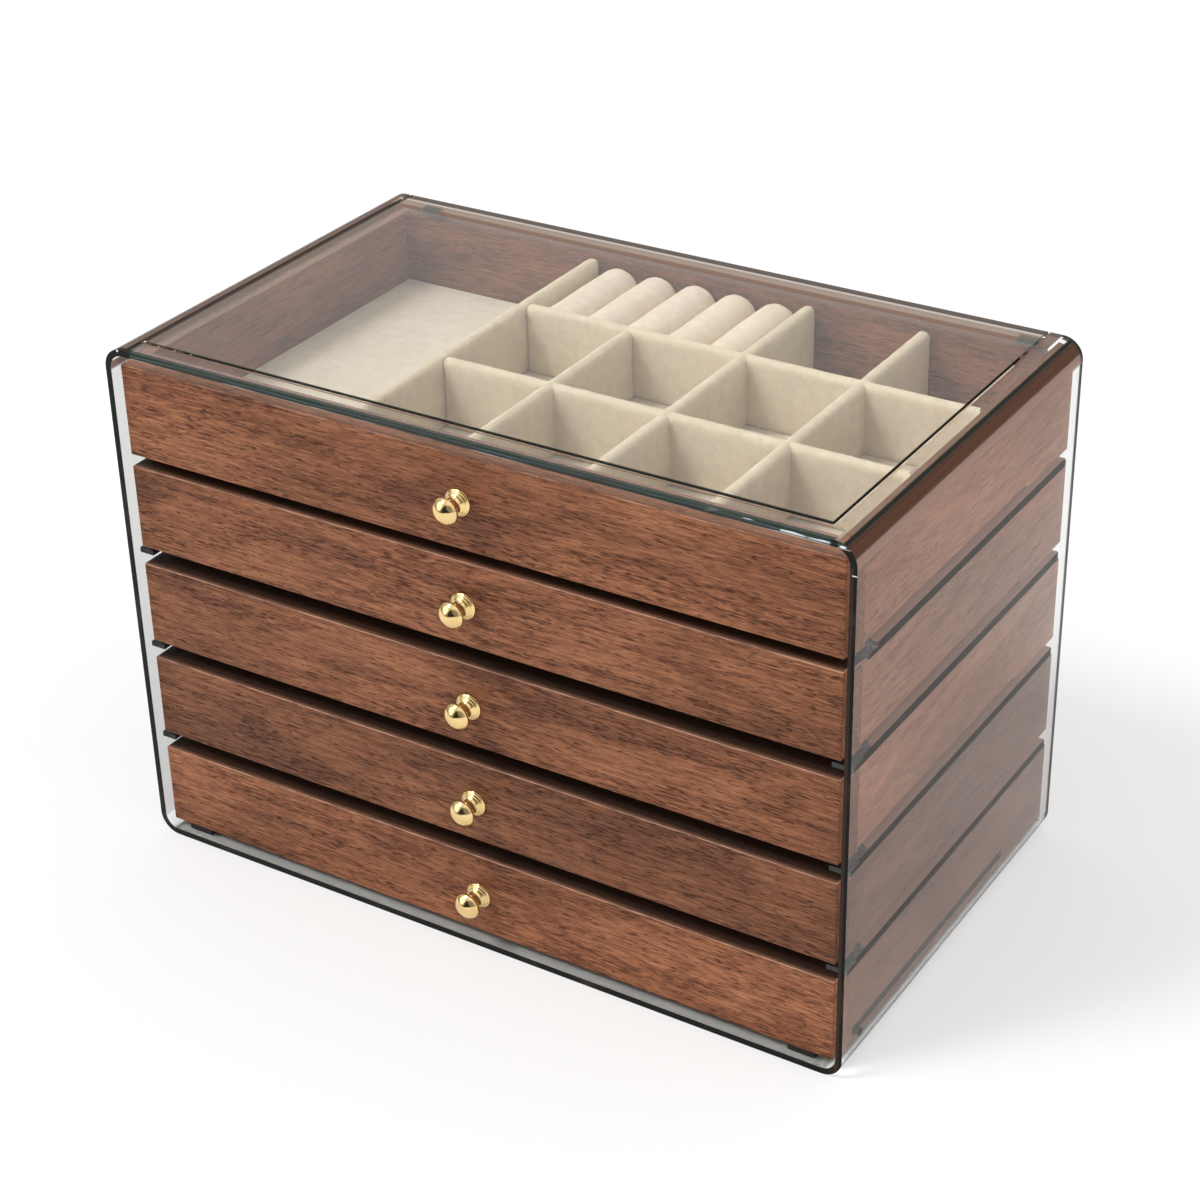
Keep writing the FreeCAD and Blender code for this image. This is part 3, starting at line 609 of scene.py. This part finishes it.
def back_right_corner(tints, flat_top):
    """A brown strip on the top that paints the wood seen through it, and the dark rim of the bend
    and the wall in painted shade.
    """
    x, y = tints.x, tints.y
    tints.lay((0.17, 0.11, 0.085), 0.93, flat_top, tints.above(x, 0.1368),
              tints.band(y, SHELL_BACK - 0.014, SHELL_BACK - 0.0026, 0.0003))
    rim = tints.meet(tints.above(tints.side, 0.02), tints.above(x, 0.14))
    tints.lay((0.02, 0.017, 0.014), 0.93, rim, tints.above(y, SHELL_BACK - 0.0018),
              tints.above(tints.z, SHELL_TOP - BEND))
    tints.lay((0.03, 0.028, 0.025), 0.85, rim, tints.above(y, SHELL_BACK - 0.0009))


def cut_edges(tints, front_cut, back_cut):
    """Cut edges painted dark as painted shade, with a few brown patches of painted reflection and
    a warm line on the right at the front.
    """
    mix, x, z = tints.mix, tints.x, tints.z
    edge = tuple(bpy.context.scene.jewelry_box_finish.edge_shade)
    patches = mix.noise(mix.place((0.15, 1, 0.15), (0.3, 0, 0)), 240.0, 3.0, 0.6)
    front = mix.blend(mix.math("MULTIPLY", mix.fade(patches, 0.5, 0.75), 0.5), edge,
                      (0.07, 0.05, 0.036))
    warm = tints.meet(tints.above(x, 0.1470), tints.below(x, 0.1487), tints.below(z, 0.2))
    front = mix.blend(mix.math("MULTIPLY", warm, 0.7), front, (0.045, 0.024, 0.014))
    # Painted shade: the back edge dark, with its top in warm grey.
    tints.lay(edge, 1.0, back_cut)
    tints.lay((0.16, 0.13, 0.115), 1.0, back_cut, tints.above(z, SHELL_TOP - SHEET - TINY))
    tints.lay(front, 1.0, front_cut)


def top_front_edge(tints, flat_top, front_cut):
    """Green lines above a bright one, broken along the edge, and a dark green strip over them on
    the top: the bright line is a painted highlight, and the dark lines, the strip and the black
    left end are painted shade on the edge's own green.
    """
    mix, x, y, z = tints.mix, tints.x, tints.y, tints.z
    streak = mix.noise(mix.place((0.05, 1, 1)), 900.0, 3.0, 0.6)
    swell = mix.noise(mix.place((1, 0.01, 0.01), (0.2, 0, 0)), 26.0, 2.0)
    depth = mix.math("DIVIDE", mix.math("SUBTRACT", SHELL_TOP, z), SHEET)
    wavy = mix.math("ADD", depth, mix.math("MULTIPLY", mix.math("SUBTRACT", streak, 0.5), 0.5))
    green = mix.ramp(
        wavy, (0.0, (0.022, 0.04, 0.032)), (0.34, (0.016, 0.032, 0.025)),
        (0.5, (0.085, 0.12, 0.11)), (0.62, (0.05, 0.07, 0.063)),
        (0.72, (0.014, 0.02, 0.018)), (0.84, (0.02, 0.024, 0.022)),
        (0.93, (0.32, 0.32, 0.30)), (1.0, (0.42, 0.39, 0.35)),
    )
    calm = mix.ramp(
        wavy, (0.0, (0.024, 0.038, 0.032)), (0.35, (0.06, 0.075, 0.068)),
        (0.7, (0.02, 0.026, 0.023)), (1.0, (0.085, 0.064, 0.052)),
    )
    lines = mix.blend(mix.fade(swell, 0.42, 0.58), calm, green)
    tints.lay(lines, 1.0, front_cut, tints.above(z, SHELL_TOP - SHEET - TINY),
              tints.band(x, FRONT_LINES, 0.1475, 0.0004))
    # A dark green strip on the top along the front edge: painted shade for the cut edge seen
    # through the top.
    bevel = mix.blend(streak, (0.014, 0.03, 0.023), (0.06, 0.08, 0.072))
    tints.lay(bevel, 0.9, flat_top, tints.above(x, FRONT_LINES),
              tints.band(y, SHELL_FRONT - 0.001, SHELL_FRONT + 0.0016, 0.0003))
    # Painted shade: the black left end of the front edge.
    tints.lay((0.010, 0.009, 0.008), 0.95, tints.above(tints.up, 0.6),
              tints.above(z, TOP_PART), tints.below(x, FRONT_LINES),
              tints.band(y, SHELL_FRONT - 0.001, SHELL_FRONT + 0.0021, 0.0003))
    tints.lay((0.02, 0.02, 0.014), 0.6, flat_top,
              tints.band(y, LID_LOW[1] - 0.0011, LID_LOW[1], TINY),
              tints.band(x, LID_LOW[0], LID_HIGH[0], TINY))


def front_glints(tints, front_cut):
    """Broken glints towards the right, a black end there, and small glints at both ends."""
    mix, x, z = tints.mix, tints.x, tints.z
    glow = mix.noise(mix.place((0.14, 1, 1)), 800.0, 1.0)
    nearing = mix.math("MULTIPLY", mix.fade(x, 0.095, 0.138), 0.12)
    tints.lay((0.72, 0.78, 0.80), 0.95, front_cut, tints.band(x, 0.098, 0.1405, 0.002),
              tints.band(z, SHELL_TOP - 0.0018, SHELL_TOP - 0.0005, 0.0003),
              mix.fade(mix.math("ADD", glow, nearing), 0.60, 0.66))
    tints.lay((0.006, 0.007, 0.007), 0.9, front_cut, tints.above(z, 0.2),
              tints.band(x, 0.1405, 0.1430, 0.0004))
    for spot, sizes in (((-0.1436, 0.2074), (0.0005, 0.0005)),
                        ((0.1492, 0.1972), (0.0011, 0.0002)),
                        ((0.1448, 0.2062), (0.0012, 0.0004))):
        tints.lay((0.8, 0.8, 0.8), 1.0, front_cut, tints.inside((x, z), spot, sizes))


def shell_slit(tints):
    """Round the lid and inside the right bend, the shell lets light through unbent."""
    mix, x, y, z = tints.mix, tints.x, tints.y, tints.z
    round_lid = tints.meet(
        tints.above(y, LID_LOW[1] - 0.002), tints.above(x, LID_LOW[0] - 0.002),
        tints.below(x, LID_HIGH[0] + 0.002), tints.above(z, SHELL_TOP - 0.003),
        tints.below(y, SHELL_BACK - 0.0002),
        tints.below(mix.math("ABSOLUTE", tints.up), 0.3),
    )
    centre = (SHELL_HIGH[0] - BEND, SHELL_TOP - BEND)
    in_bend = tints.meet(
        tints.above(x, RIGHT_BEND), tints.above(z, SHELL_TOP - BEND + TINY),
        tints.inside((x, z), centre, (0.0066, 0.0066)),
    )
    return mix.math("MAXIMUM", round_lid, in_bend)


def shell_layers(mix):
    """The shell's tints, from its walls to the glints at its front corners."""
    tints = Layers(mix, (0.1, 0.1, 0.1))
    flat_top = tints.flat_top(SHELL_TOP)
    squarely = tints.above(mix.math("ABSOLUTE", tints.along), 0.7)
    front_cut = tints.meet(tints.below(tints.y, SHELL_FRONT + 0.00015), squarely)
    back_cut = tints.meet(tints.above(tints.y, SHELL_BACK - 0.00015), squarely)
    wall_and_floor(tints)
    left_bend(tints, flat_top)
    right_bend(tints)
    back_bands(tints, flat_top)
    back_right_corner(tints, flat_top)
    cut_edges(tints, front_cut, back_cut)
    top_front_edge(tints, flat_top, front_cut)
    front_glints(tints, front_cut)
    tints.slit = shell_slit(tints)
    return tints


def lid_layers(mix):
    """The lid's back edge, the lines along its top, and the tints over its two blocks."""
    tints = Layers(mix, (0.05, 0.07, 0.06))
    x, y = tints.x, tints.y
    flat_top = tints.flat_top(LID_HIGH[2])
    sides = tints.below(mix.math("ABSOLUTE", tints.up), 0.5)
    tints.slit = tints.meet(sides, tints.below(y, LID_HIGH[1] - 0.0002))
    # Painted shade: the back edge in warm grey, and a brown strip fading in from the left.
    tints.lay((0.15, 0.115, 0.10), 0.92, sides, tints.above(y, LID_HIGH[1] - 0.0002))
    tints.lay((0.20, 0.15, 0.12), 0.85, flat_top,
              mix.fade(x, LID_LOW[0] + 0.0070, LID_LOW[0] + 0.0035))
    back_bands(tints, flat_top)
    # Each block is seen a little to the right of its place, and nearer the front.
    blocks_low, blocks_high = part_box("lid_blocks")
    for left in (blocks_low[0] + 0.0014, blocks_high[0] - BLOCK_WIDTH + 0.0014):
        tints.lay((0.12, 0.135, 0.125), 0.8, flat_top,
                  tints.band(x, left, left + BLOCK_WIDTH, 0.0005),
                  tints.band(y, LID_HIGH[1] - 0.0128, LID_HIGH[1] - 0.0068, 0.0006))
    # The dark line along the front, the left and the right, and a glint at its corner.
    for value, low, high, strength in (
        (y, LID_LOW[1] - 0.001, LID_LOW[1] + 0.0009, 0.93),
        (x, LID_LOW[0] - 0.001, LID_LOW[0] + 0.0012, 0.93),
        (x, LID_HIGH[0] - 0.0004, LID_HIGH[0] + 0.001, 0.82),
    ):
        tints.lay((0.020, 0.018, 0.011), strength, flat_top,
                  tints.band(value, low, high, 0.00015))
    corner = (LID_LOW[0] + 0.0003, LID_LOW[1] + 0.0004)
    tints.lay((0.95, 0.95, 0.92), 1.0, flat_top,
              tints.inside((x, y), corner, (0.0006, 0.0006)))
    return tints


def block_layers(mix):
    """The small blocks under the lid are clouded to a grey green throughout."""
    cloud = mix.noise(mix.place(), 600.0, 2.0)
    tints = Layers(mix, (0.1, 0.1, 0.1))
    dark = mix.blend(cloud, (0.09, 0.12, 0.115), (0.19, 0.25, 0.24))
    tints.lay(dark, 1.0, mix.math("ADD", mix.math("MULTIPLY", cloud, 0.2), 0.7))
    return tints


# What a user may change


class JewelryBoxFinish(bpy.types.PropertyGroup):
    """Colours and sizes of the dressed box."""

    walnut_light: bpy.props.FloatVectorProperty(
        name="Light walnut", description="Colour between the growth bands",
        subtype="COLOR", default=(0.41, 0.168, 0.078), min=0, max=1,
    )
    walnut_middle: bpy.props.FloatVectorProperty(
        name="Walnut", description="Main colour of the wood",
        subtype="COLOR", default=(0.285, 0.106, 0.047), min=0, max=1,
    )
    walnut_dark: bpy.props.FloatVectorProperty(
        name="Dark walnut", description="Colour of the growth bands",
        subtype="COLOR", default=(0.165, 0.056, 0.025), min=0, max=1,
    )
    velvet: bpy.props.FloatVectorProperty(
        name="Velvet", description="Colour of the dividers",
        subtype="COLOR", default=(0.685, 0.58, 0.425), min=0, max=1,
    )
    floor_velvet: bpy.props.FloatVectorProperty(
        name="Floor velvet", description="Colour of the drawers' floors",
        subtype="COLOR", default=(0.69, 0.61, 0.50), min=0, max=1,
    )
    roll_velvet: bpy.props.FloatVectorProperty(
        name="Roll velvet", description="Colour of the ring rolls",
        subtype="COLOR", default=(0.78, 0.66, 0.52), min=0, max=1,
    )
    brass: bpy.props.FloatVectorProperty(
        name="Brass", description="Colour of the knobs",
        subtype="COLOR", default=(0.88, 0.65, 0.30), min=0, max=1,
    )
    sheet_tint: bpy.props.FloatVectorProperty(
        name="Sheet tint", description="What the clear sheet lets through",
        subtype="COLOR", default=(0.965, 0.972, 0.966), min=0, max=1,
    )
    # The cut edges are painted dark: painted shade for the light that the sheet's edges turn
    # away.
    edge_shade: bpy.props.FloatVectorProperty(
        name="Edge", description="Colour of the clear sheet's cut edges",
        subtype="COLOR", default=(0.007, 0.007, 0.007), min=0, max=1,
    )
    knob_steps: bpy.props.IntProperty(
        name="Knob steps", description="Steps round a turned knob",
        default=48, min=12, max=96,
    )
    nap_height: bpy.props.FloatProperty(
        name="Nap height", description="How uneven the velvet is",
        subtype="DISTANCE", unit="LENGTH", default=0.00018, min=0, max=0.001,
    )
    velvet_grid: bpy.props.FloatProperty(
        name="Velvet grid", description="Size of a face on the padded pieces",
        subtype="DISTANCE", unit="LENGTH", default=0.0010, min=0.0006, max=0.003,
    )


# The pieces


class JEWELRYBOX_OT_clear_case(bpy.types.Operator):
    """Finish the clear shell, the lid and its two blocks"""

    bl_idname = "jewelrybox.clear_case"
    bl_label = "Clear case"

    def execute(self, context):
        paint("acrylic_shell", clear_sheet("clear_shell_sheet", shell_layers))
        paint("top_lid", clear_sheet("clear_lid_sheet", lid_layers))
        paint("lid_blocks", clear_sheet("clouded_lid_block", block_layers))
        return {"FINISHED"}


class JEWELRYBOX_OT_rails_and_pads(bpy.types.Operator):
    """Finish the rails, stop pins, hinge pins and glide pads"""

    bl_idname = "jewelrybox.rails_and_pads"
    bl_label = "Rails and pads"

    def execute(self, context):
        strip = moulded("black_strip", (0.014, 0.013, 0.013), 0.42, 0.00002)
        pin = moulded("black_pin", (0.022, 0.016, 0.014), 0.12, 0.000005)
        rubber = moulded("pad_rubber", (0.012, 0.012, 0.012), 0.6, 0.00003)
        # The right rails carry the painted reflection of the wood and the painted light.
        glide = moulded("right_rail_painted_wood", (0.014, 0.013, 0.013), 0.42, 0.00002, 0.9)
        paint("left_rails", strip)
        paint("right_rails", glide)
        for side in ("left", "right"):
            paint(side + "_stop_pins", pin)
        paint("glide_pads", rubber)
        paint("lid_hinge_pins", plain_metal("hinge_steel", (0.55, 0.55, 0.56)))
        return {"FINISHED"}


class JEWELRYBOX_OT_drawer_boards(bpy.types.Operator):
    """Finish the walnut boards of the five drawers"""

    bl_idname = "jewelrybox.drawer_boards"
    bl_label = "Drawer boards"

    def execute(self, context):
        for number in DRAWERS:
            name = "drawer_%d_" % number
            tone = FRONT_TONES[number]
            top = number == 1
            # The four lower drawers get painted shade underneath and on their tops behind the
            # front.
            painted_gap_shade = 0.0 if top else 0.8
            paint(name + "front", walnut(name + "front_walnut", "x", number, tone, painted_gap_shade))
            # Each board's level top gets a painted reflection; on the cross boards it is darker,
            # and is painted shade too.
            cross = walnut(
                name + "cross_walnut", "x", number + 7, tone * (0.78 if top else 0.95),
                painted_gap_shade, grey=0.1, figure=0.8, top_sheen_and_shade=(0.14, 0.075, 0.05), top_sheen_and_shade_share=0.75,
            )
            paint(name + "back", cross)
            paint(name + "bottom", cross)
            # The right side boards are painted lighter, as painted light, and get more of the top
            # tint.
            for side, seed, share, top_sheen_and_shade_share in (
                ("left", 13, 0.95, 0.5), ("right", 19, RIGHT_SIDE_LIGHT[number], 0.85),
            ):
                board = walnut(
                    name + side + "_walnut", "y", number + seed, tone * share, painted_gap_shade,
                    grey=0.15, figure=0.4, top_sheen_and_shade=(0.20, 0.125, 0.09), top_sheen_and_shade_share=top_sheen_and_shade_share,
                )
                paint(name + side + "_side", board)
        return {"FINISHED"}


# Half of a knob's outline: out from the wood and away from the axis, in mm.
KNOB_OUTLINE = (
    (0.0, 5.1), (0.4, 5.1), (0.6, 4.95), (0.66, 4.6), (0.98, 4.5), (1.16, 4.25),
    (1.2, 3.85), (1.5, 3.75), (1.72, 3.5), (1.78, 3.2), (2.2, 2.8), (2.8, 2.45),
    (3.6, 2.28), (4.6, 2.26), (5.3, 2.4), (5.6, 2.8), (5.9, 3.6), (6.5, 4.5),
    (7.2, 5.02), (7.7, 5.18), (8.05, 5.2), (8.3, 5.02), (8.5, 4.88), (9.1, 4.42),
    (9.8, 3.65), (10.5, 2.5), (11.0, 1.3), (11.2, 0.0),
)


class JEWELRYBOX_OT_knobs(bpy.types.Operator):
    """Turn the five knobs with their beaded feet, and finish their screws"""

    bl_idname = "jewelrybox.knobs"
    bl_label = "Knobs"

    def execute(self, context):
        finish = context.scene.jewelry_box_finish
        steel = plain_metal("screw_steel", (0.5, 0.5, 0.51))
        brass = polished_brass("knob_brass", tuple(finish.brass))
        master = self.turned("knob_master", finish.knob_steps)
        for number in DRAWERS:
            node = "drawer_%d_knob" % number
            low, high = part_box(node)
            spot = Vector(((low[0] + high[0]) / 2, high[1], (low[2] + high[2]) / 2))
            knob = copy_of(master, "turned_knob_%d" % number, spot)
            give(knob, brass, "drawer_%d" % number, "brass", node)
            paint(node + "_screw", steel)
        bpy.data.objects.remove(master)
        return {"FINISHED"}

    def turned(self, name, steps):
        """Draws the outline by extruding a point, and spins it about the Y axis."""
        deselect_all()
        bpy.ops.mesh.primitive_plane_add(size=MM)
        knob = bpy.context.object
        knob.name = knob.data.name = name
        bpy.ops.object.mode_set(mode="EDIT")
        bpy.ops.mesh.select_mode(type="VERT")
        bpy.ops.mesh.merge(type="CENTER")
        points = [Vector((radius, 0, 0)) * MM + Vector((0, -out, 0)) * MM
                  for out, radius in KNOB_OUTLINE]
        bpy.ops.transform.translate(value=points[0])
        for before, after in zip(points, points[1:]):
            bpy.ops.mesh.extrude_region_move(
                TRANSFORM_OT_translate={"value": after - before}
            )
        bpy.ops.mesh.select_all(action="SELECT")
        bpy.ops.mesh.spin(
            steps=steps, angle=2 * math.pi, center=(0, 0, 0), axis=(0, 1, 0)
        )
        bpy.ops.mesh.select_all(action="SELECT")
        bpy.ops.mesh.remove_doubles(threshold=MM * 0.002)
        bpy.ops.object.mode_set(mode="OBJECT")
        pick_edges(knob, lambda a, b: max(abs(a.y), abs(b.y)) < 1e-6)
        bpy.ops.mesh.edge_face_add()
        bpy.ops.mesh.inset(thickness=MM * 0.15)
        bpy.ops.mesh.select_all(action="SELECT")
        bpy.ops.mesh.normals_make_consistent(inside=False)
        bpy.ops.object.mode_set(mode="OBJECT")
        modify(knob, "SUBSURF", levels=1, render_levels=1)
        only(knob)
        bpy.ops.object.shade_smooth_by_angle(angle=math.radians(40))
        return knob


class JEWELRYBOX_OT_dividers(bpy.types.Operator):
    """Cover the six divider boards in velvet, with full-round tops"""

    bl_idname = "jewelrybox.dividers"
    bl_label = "Velvet dividers"

    def execute(self, context):
        finish = context.scene.jewelry_box_finish
        cloth = velvet("divider_velvet", tuple(finish.velvet))
        for node in (
            "main_divider", "column_divider_1", "column_divider_2",
            "column_divider_3", "back_cross_divider", "front_cross_divider",
        ):
            low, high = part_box(node)
            board = block("velvet_" + node, low, high)
            long_axis = 0 if high[0] - low[0] > high[1] - low[1] else 1
            half = (high[1 - long_axis] - low[1 - long_axis]) / 2
            round_over(
                board,
                lambda a, b: min(a.z, b.z) > high[2] - 1e-5
                and abs(a[long_axis] - b[long_axis]) > half * 3,
                half * 0.96, 6,
            )
            upholster(board, finish, "divider_nap", 0.006, 4, 2)
            give(board, cloth, "drawer_1", "velvet", node)
        return {"FINISHED"}


class JEWELRYBOX_OT_ring_rolls(bpy.types.Operator):
    """Pad the five ring rolls behind the cells"""

    bl_idname = "jewelrybox.ring_rolls"
    bl_label = "Ring rolls"

    def execute(self, context):
        finish = context.scene.jewelry_box_finish
        cloth = velvet("roll_velvet", tuple(finish.roll_velvet))
        low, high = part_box("ring_rolls")
        width = (high[0] - low[0]) - ROLL_PITCH * (ROLLS - 1)
        roll = block("roll_master", low, (low[0] + width, high[1], high[2]))
        round_over(
            roll,
            lambda a, b: min(a.z, b.z) > high[2] - 1e-5 and abs(a.y - b.y) > width,
            width / 2 * 0.97, 10,
        )
        round_over(
            roll,
            lambda a, b: abs(a.y - b.y) < 1e-6
            and min(abs(a.y - low[1]), abs(a.y - high[1])) < 1e-6
            and max(a.z, b.z) > low[2] + 1e-5,
            1.6 * MM, 3,
        )
        upholster(roll, finish, "roll_nap", 0.011, 8, 2.5)
        rolls = [roll] + [
            copy_of(roll, "ring_roll_%d" % (number + 1), (number * ROLL_PITCH, 0, 0))
            for number in range(1, ROLLS)
        ]
        roll.name = roll.data.name = "ring_roll_1"
        for piece in rolls:
            give(piece, cloth, "drawer_1", "velvet", "ring_rolls")
        return {"FINISHED"}


class JEWELRYBOX_OT_floor_pads(bpy.types.Operator):
    """Lay a thin velvet pad on each drawer's floor"""

    bl_idname = "jewelrybox.floor_pads"
    bl_label = "Floor pads"

    def execute(self, context):
        finish = context.scene.jewelry_box_finish
        cloth = velvet("floor_velvet", tuple(finish.floor_velvet))
        for number in DRAWERS:
            node = "drawer_%d_floor_pad" % number
            low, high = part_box(node)
            pad = block("velvet_floor_%d" % number, low, high)
            round_over(
                pad, lambda a, b: min(a.z, b.z) > high[2] - 1e-6, 0.9 * MM, 3
            )
            pick_faces(pad, lambda face: face.normal.z > 0.99)
            bpy.ops.mesh.inset(thickness=3 * MM)
            bpy.ops.mesh.subdivide(number_cuts=60)
            bpy.ops.object.mode_set(mode="OBJECT")
            modify(
                pad, "DISPLACE", texture=nap("floor_nap", 0.02),
                texture_coords="LOCAL", direction="Z",
                strength=finish.nap_height, mid_level=1.0,
            )
            only(pad)
            bpy.ops.object.shade_smooth_by_angle(angle=math.radians(50))
            give(pad, cloth, "drawer_%d" % number, "velvet", node)
        return {"FINISHED"}


class JEWELRYBOX_OT_stage(bpy.types.Operator):
    """Set the floor, the lamps, the surroundings and the camera"""

    bl_idname = "jewelrybox.stage"
    bl_label = "Stage"

    def execute(self, context):
        scene = context.scene
        scene.view_settings.view_transform = "Standard"
        self.floor()
        scene.world = self.surroundings()
        self.sun("key_lamp", 1.15, 14, (38, 0, -42))
        self.sun("fill_lamp", 0.35, 80, (55, 0, 60))
        self.side_lamp()
        scene.camera = self.camera()
        return {"FINISHED"}

    def floor(self):
        """A white floor, brighter to the eye than to reflections."""
        deselect_all()
        bpy.ops.mesh.primitive_plane_add(size=12, location=(0, 2, -0.0002))
        floor = bpy.context.object
        floor.name = floor.data.name = "studio_floor"
        settle(floor)
        mix = Mix("studio_floor_white")
        faint = mix.noise(mix.place(), 3.0, 2.0)
        tone = mix.blend(faint, (0.965, 0.965, 0.965), (0.975, 0.975, 0.975))
        # Painted shade on the floor to the right, seen only in reflections, keeps the wall there
        # from mirroring a bright floor.
        here = mix.split("Object")
        painted_reflection_shade = mix.math("MULTIPLY", mix.fade(here[0], 0.08, 0.36),
                        mix.fade(here[1], -0.16, -0.06))
        mirrored = mix.math("MULTIPLY", painted_reflection_shade, mix.add("LightPath").outputs["Is Glossy Ray"])
        tone = mix.blend(mix.math("MULTIPLY", mirrored, 0.65), tone, (0.02, 0.018, 0.016))
        matt = mix.add("BsdfPrincipled", {"Base Color": tone, "Roughness": 0.9})
        matt.inputs["Specular IOR Level"].default_value = 0.0
        glow = mix.add("Emission", {"Color": (1, 1, 1, 1), "Strength": 1.0})
        seen = mix.math("MULTIPLY", mix.add("LightPath").outputs["Is Camera Ray"], 0.45)
        pale = mix.add("MixShader", {0: seen, 1: matt.outputs[0], 2: glow.outputs[0]})
        floor.data.materials.append(mix.end(pale.outputs[0]))

    def surroundings(self):
        """White to the eye. Reflections see a pale dome with one window on the left,
        darker to the horizon and in front, and a little dimmer behind."""
        mix = Mix("soft_studio", world=True)
        where = mix.add("TexCoord").outputs["Generated"]
        height = mix.add("SeparateXYZ", {0: where}).outputs[2]

        def towards(direction, start, end, strength):
            """The strength near a direction; start and end are cosines of the angle to it."""
            aim = tuple(Vector(direction).normalized())
            near = mix.add("VectorMath", {0: where, 1: aim}, operation="DOT_PRODUCT")
            return mix.math(
                "MULTIPLY", mix.fade(near.outputs["Value"], start, end), strength
            )

        dome = mix.add("MapRange", {0: height, 1: 0.0, 2: 0.95, 3: 0.26, 4: 0.98}).outputs[0]
        window = towards((-0.63, -0.65, 0.42), 0.925, 0.955, 1.6)
        dark_front = towards((0.33, -0.91, 0.20), 0.77, 0.88, 0.93)
        dim_back = towards((-0.467, 0.732, 0.497), 0.80, 0.97, 0.3)
        kept = mix.math("SUBTRACT", mix.math("SUBTRACT", 1.0, dark_front), dim_back)
        strength = mix.math("MULTIPLY", mix.math("ADD", dome, window), kept)
        light = mix.add("Background", {"Color": (1.0, 0.995, 0.985, 1), "Strength": strength})
        white = mix.add("Background", {"Color": (1, 1, 1, 1), "Strength": 1.0})
        path = mix.add("LightPath").outputs
        seen = mix.math("MAXIMUM", path["Is Camera Ray"], path["Is Transmission Ray"])
        choice = mix.add("MixShader", {0: seen, 1: light.outputs[0], 2: white.outputs[0]})
        return mix.end(choice.outputs[0])

    def lamp(self, name, kind, strength):
        deselect_all()
        bpy.ops.object.light_add(type=kind, location=(0, 0, 2))
        lamp = bpy.context.object
        lamp.name = lamp.data.name = name
        lamp.data.energy = strength
        return lamp

    def sun(self, name, strength, angle, turn):
        """A sun, with its breadth and its turn in degrees."""
        lamp = self.lamp(name, "SUN", strength)
        lamp.data.angle = math.radians(angle)
        lamp.rotation_euler = [math.radians(part) for part in turn]

    def side_lamp(self):
        """A lamp on the right that lights the side wall, and that no reflection shows."""
        lamp = self.lamp("side_lamp", "AREA", 1.3)
        lamp.data.shape = "RECTANGLE"
        lamp.data.size = 0.6
        lamp.data.size_y = 0.4
        lamp.visible_glossy = False
        lamp.location = SIDE_LAMP
        aim = Vector(SIDE_LAMP_AIM) - Vector(SIDE_LAMP)
        lamp.rotation_euler = aim.to_track_quat("-Z", "Y").to_euler()

    def camera(self):
        """A camera to the right of the front, looking down at the top."""
        turn, drop, roll = (
            math.radians(angle) for angle in (CAMERA_TURN, CAMERA_DROP, CAMERA_ROLL)
        )
        look = Vector((
            math.sin(turn) * math.cos(drop), math.cos(turn) * math.cos(drop),
            -math.sin(drop),
        ))
        right = look.cross(Vector((0, 0, 1))).normalized()
        up = right.cross(look)
        across = right * math.cos(roll) + up * math.sin(roll)
        above = up * math.cos(roll) - right * math.sin(roll)
        deselect_all()
        bpy.ops.object.camera_add(location=(0, 0, 0))
        camera = bpy.context.object
        camera.name = camera.data.name = "photo_camera"
        camera.data.sensor_fit = "HORIZONTAL"
        camera.data.sensor_width = SENSOR_WIDTH
        camera.data.lens = CAMERA_FOCAL * SENSOR_WIDTH
        camera.data.clip_start = 0.05
        camera.data.clip_end = 50
        spot = Vector(CAMERA_SPOT)
        camera.matrix_world = Matrix((
            (across.x, above.x, -look.x, spot.x),
            (across.y, above.y, -look.y, spot.y),
            (across.z, above.z, -look.z, spot.z),
            (0, 0, 0, 1),
        ))
        return camera


class JEWELRYBOX_PT_panel(bpy.types.Panel):
    """Lists the steps and the finish of the jewelry box"""

    bl_idname = "JEWELRYBOX_PT_panel"
    bl_label = "Jewelry Box"
    bl_space_type = "VIEW_3D"
    bl_region_type = "UI"
    bl_category = "Jewelry Box"

    def draw(self, context):
        finish = context.scene.jewelry_box_finish
        for key in JewelryBoxFinish.__annotations__:
            self.layout.prop(finish, key)
        for step in STEPS:
            self.layout.operator(step.bl_idname)


STEPS = (
    JEWELRYBOX_OT_clear_case,
    JEWELRYBOX_OT_rails_and_pads,
    JEWELRYBOX_OT_drawer_boards,
    JEWELRYBOX_OT_knobs,
    JEWELRYBOX_OT_dividers,
    JEWELRYBOX_OT_ring_rolls,
    JEWELRYBOX_OT_floor_pads,
    JEWELRYBOX_OT_stage,
)
CLASSES = (JewelryBoxFinish, *STEPS, JEWELRYBOX_PT_panel)


def register():
    for kind in CLASSES:
        bpy.utils.register_class(kind)
    bpy.types.Scene.jewelry_box_finish = bpy.props.PointerProperty(type=JewelryBoxFinish)


def unregister():
    del bpy.types.Scene.jewelry_box_finish
    for kind in reversed(CLASSES):
        bpy.utils.unregister_class(kind)


def main():
    """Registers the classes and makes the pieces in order."""
    register()
    bpy.ops.jewelrybox.clear_case()
    bpy.ops.jewelrybox.rails_and_pads()
    bpy.ops.jewelrybox.drawer_boards()
    bpy.ops.jewelrybox.knobs()
    bpy.ops.jewelrybox.dividers()
    bpy.ops.jewelrybox.ring_rolls()
    bpy.ops.jewelrybox.floor_pads()
    bpy.ops.jewelrybox.stage()


if __name__ == "__main__":
    main()
